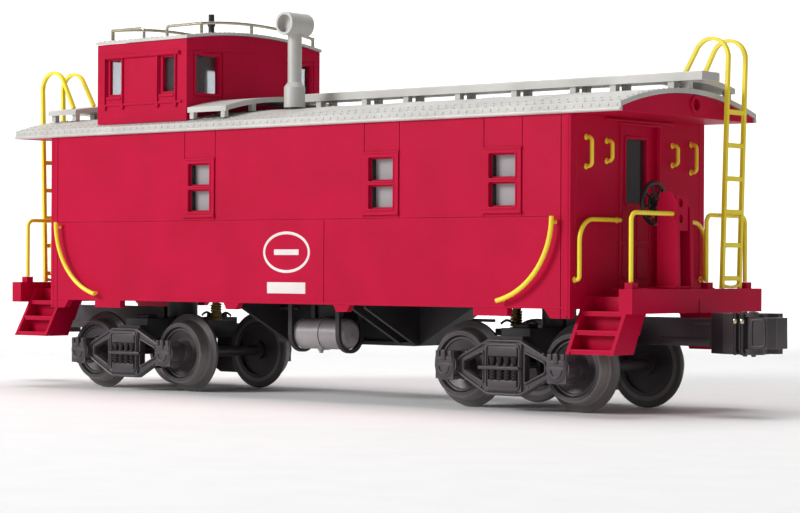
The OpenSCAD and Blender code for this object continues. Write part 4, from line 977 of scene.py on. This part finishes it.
# ---- Couplers, drawn at +X ----


def coupler_fittings():
    """Rivet heads over and under the coupler's lugs and ribs down its sides."""
    head = [[0.62, 0], [0.62, 0.35], [0.45, 0.55], [0.2, 0.6]]
    parts = []
    for x in (PIN_X - 2.4, PIN_X):
        parts.append(turned(head, [x, PIN_Y, coupler_high[2] - 0.05], Z_WAY, 16))
        parts.append(turned(head, [x, PIN_Y, coupler_low[2] + 0.05], -Z_WAY, 16))
    x0, x1 = BEAM_FACE + 0.8, BEAM_FACE + 5.2
    for y in (-3.15, 3.15):
        parts.append(cast_block([x0, y - 0.25, PIN_Z + 2.0], [x1, y + 0.25, PIN_Z + 2.9], 0.2, axis=0))
        parts.append(cast_block([x0 - 10, y - 0.3, PIN_Z - 3.1], [x1, y + 0.3, PIN_Z - 1.2], 0.25, axis=0))
    return joined(*parts)


def beside_pin(profile):
    """A profile turned on each of the two slim upright pins on the coupler head's near side."""
    return joined(*[turned(profile, [x, PIN_Y - 2.9, 0], Z_WAY, 14) for x in (PIN_X - 3.4, PIN_X - 1.4)])


def coupler_pins():
    """The two slim pins, each with a small collar at both ends."""
    z0, z1 = coupler_low[2] + 0.3, coupler_high[2] + 0.3
    return beside_pin([[0.3, z0 - 0.4], [0.5, z0 - 0.2], [0.6, z0 + 0.5], [0.42, z0 + 0.7], [0.42, z1 - 1.2],
                       [0.55, z1 - 1.0], [0.55, z1 - 0.2], [0.35, z1]])


def pin_tips():
    """Short bright sleeves near the top of the two pins."""
    z = coupler_high[2] - 2.4
    return beside_pin([[0.5, z], [0.62, z + 0.15], [0.62, z + 1.0], [0.5, z + 1.15]])


def knuckle_fittings():
    """The rivet on the knuckle's pin, and a rib carried round the flat on the knuckle's near side."""
    rivet_z = corners("knuckle_front")[1][2] - 0.02
    rivet = turned([[1.35, 0], [1.35, 0.2], [1.1, 0.35], [0.3, 0.4]], [PIN_X, PIN_Y, rivet_z], Z_WAY, 20)
    (ax, ay), (bx, by) = (PIN_X + 0.7, PIN_Y - 2.02), (PIN_X + 4.1, PIN_Y - 1.65)
    z0, z1 = PIN_Z - 2.9, PIN_Z + 3.5
    out = unit(np.array([by - ay, ax - bx, 0.0]))
    return joined(rivet, rim([[bx, by, z0], [ax, ay, z0], [ax, ay, z1], [bx, by, z1]], 0.7, out, 0.5, 0.32))


for end, turn in ENDS:
    make(f"coupler_fittings_{end}", turn(coupler_fittings()), COUPLER_DARK, f"truck_{end}")
    make(f"coupler_pins_{end}", turn(coupler_pins()), SPRING_STEEL, f"truck_{end}")
    make(f"pin_tips_{end}", turn(pin_tips()), NICKEL, f"truck_{end}")
    make(f"knuckle_rivet_{end}", turn(knuckle_fittings()), COUPLER_DARK, f"coupler_knuckle_{end}")

# ---- Under the floor ----


def under_rods():
    """Three round brake rods and pipes carried along straight lines, and a turned brake cylinder."""
    parts = [carried(places(np.linspace(x0, x1, 24), y, SILL_Z - drop), round_profile(0.45, 10), Z_WAY)
             for y, drop, x0, x1 in ((9.5, 2.4, -44, 40), (-9.0, 1.6, -40, -14), (5.5, 4.2, 8, 44))]
    cylinder = [[1.0, 0], [3.4, 0.2], [3.8, 0.6], [3.8, 1.4], [3.4, 1.6], [3.4, 9.6], [3.8, 9.8], [3.8, 10.6],
                [3.2, 11.0], [0.9, 11.3], [0.7, 15.0], [0.4, 15.2]]
    return joined(*parts, turned(cylinder, [8, 13.5, SILL_Z - 5.2], X_WAY, 32))


def tank_fittings():
    """Raised seams near both ends of the air tank, and a drain plug below it."""
    y, z = (tank_low[1] + tank_high[1]) / 2, (tank_low[2] + tank_high[2]) / 2
    seam = [[4.1, -0.3], [4.32, -0.1], [4.32, 0.1], [4.1, 0.3]]
    plug = [[0.9, 0], [0.9, 0.5], [0.6, 0.6], [0.6, 1.1], [0.3, 1.2]]
    return joined(turned(seam, [tank_low[0] + 2.1, y, z], -X_WAY, 48, ring=True),
                  turned(seam, [tank_high[0] - 2.1, y, z], X_WAY, 48, ring=True),
                  turned(plug, [tank_low[0] + 8, y, z - 4.15], -Z_WAY, 12))


def battery_trim():
    """A rib carried round the battery box's near side."""
    low, high = corners("battery_box")
    loop = upright_loop(1, low[1], low[0] + 0.7, high[0] - 0.7, low[2] + 0.6, high[2] - 0.6)
    return carried(loop[[0, 3, 2, 1]], rib_profile(0.5, 0.25, 5, 0.1), -Y_WAY, closed=True)


make("under_rods", under_rods(), UNDER_BLACK, "carbody")
make("tank_fittings", tank_fittings(), TANK_GREY, "carbody")
make("battery_trim", battery_trim(), UNDER_BLACK, "carbody")

# ---- Stage, light and camera, in metres and radians ----

CAMERA_PLACE = np.array([0.42747, -0.48708, 0.03643])
YAW, PITCH, ROLL = 0.7023, 0.0041, 0.0048
LENS, SENSOR_WIDTH = 104.6, 36
FLOOR_BEND, FLOOR_R = 1.6, 0.8


def studio_floor():
    """A pale sheet that lies flat under the car and curves up behind it: height is 0 up to the bend, then a
    quarter circle, then straight up."""
    u, s = np.linspace(-3.0, 3.0, 41), np.linspace(-2.5, 4.0, 61)
    a = np.clip((s - FLOOR_BEND) / FLOOR_R, 0, np.pi / 2)
    flat = s < FLOOR_BEND
    out = np.where(flat, s, FLOOR_BEND + FLOOR_R * np.sin(a))
    up = np.where(flat, 0, FLOOR_R * (1 - np.cos(a))) + np.maximum(s - FLOOR_BEND - FLOOR_R * np.pi / 2, 0)
    across, away = np.array([np.cos(YAW), np.sin(YAW), 0]), np.array([-np.sin(YAW), np.cos(YAW), 0])
    points = u[None, :, None] * across + out[:, None, None] * away + up[:, None, None] * Z_WAY
    mesh = bpy.data.meshes.new("studio_floor")
    mesh.from_pydata(points.reshape(-1, 3).tolist(), [], quads(61, 41)[:, ::-1].tolist())
    mesh.shade_smooth()
    paper = finish_of("studio_paper", linear(250, 250, 250), linear(247, 247, 247), 0.9, grain=200, bump=0.01)
    mesh.materials.append(paper)
    obj = bpy.data.objects.new("studio_floor", mesh)
    bpy.context.scene.collection.objects.link(obj)


def lamp(name, place, aim, size, power):
    """A white round lamp at a place, turned to its aim."""
    light = bpy.data.lights.new(name, "AREA")
    light.shape, light.size, light.energy = "DISK", size, power
    obj = bpy.data.objects.new(name, light)
    obj.location = place
    obj.rotation_euler = (Vector(aim) - Vector(place)).to_track_quat("-Z", "Y").to_euler()
    bpy.context.scene.collection.objects.link(obj)


studio_floor()
lamp("key_light", (-0.75, -1.2, 0.7), (0, 0, 0.05), 0.6, 15.5)
lamp("fill_light", (1.1, -0.45, 0.35), (0.1, 0, 0.05), 0.5, 0.35)
lamp("top_light", (-0.1, 0.1, 1.1), (0, 0, 0.05), 0.9, 7)
lamp("backdrop_light", (-0.55, 0.75, 1.0), (-1.3, 1.6, 0.3), 0.9, 20)
world = bpy.data.worlds.new("studio")
world.use_nodes = True
sky = world.node_tree.nodes["Background"]
sky.inputs["Color"].default_value = (1, 1, 1, 1)
sky.inputs["Strength"].default_value = 0.26
bpy.context.scene.world = world
bpy.context.scene.view_settings.view_transform = "Standard"

camera = bpy.data.cameras.new("camera")
camera.lens, camera.sensor_width = LENS, SENSOR_WIDTH
camera.clip_start, camera.clip_end = 0.02, 20
camera_obj = bpy.data.objects.new("camera", camera)
bpy.context.scene.collection.objects.link(camera_obj)
ahead = np.array([-np.sin(YAW) * np.cos(PITCH), np.cos(YAW) * np.cos(PITCH), np.sin(PITCH)])
level = np.array([np.cos(YAW), np.sin(YAW), 0.0])
upright = np.cross(level, ahead)
right = np.cos(ROLL) * level + np.sin(ROLL) * upright
up = np.cos(ROLL) * upright - np.sin(ROLL) * level
pose = np.eye(4)
pose[:3] = np.stack([right, up, -ahead, CAMERA_PLACE], 1)
camera_obj.matrix_world = Matrix(pose.tolist())
bpy.context.scene.camera = camera_obj
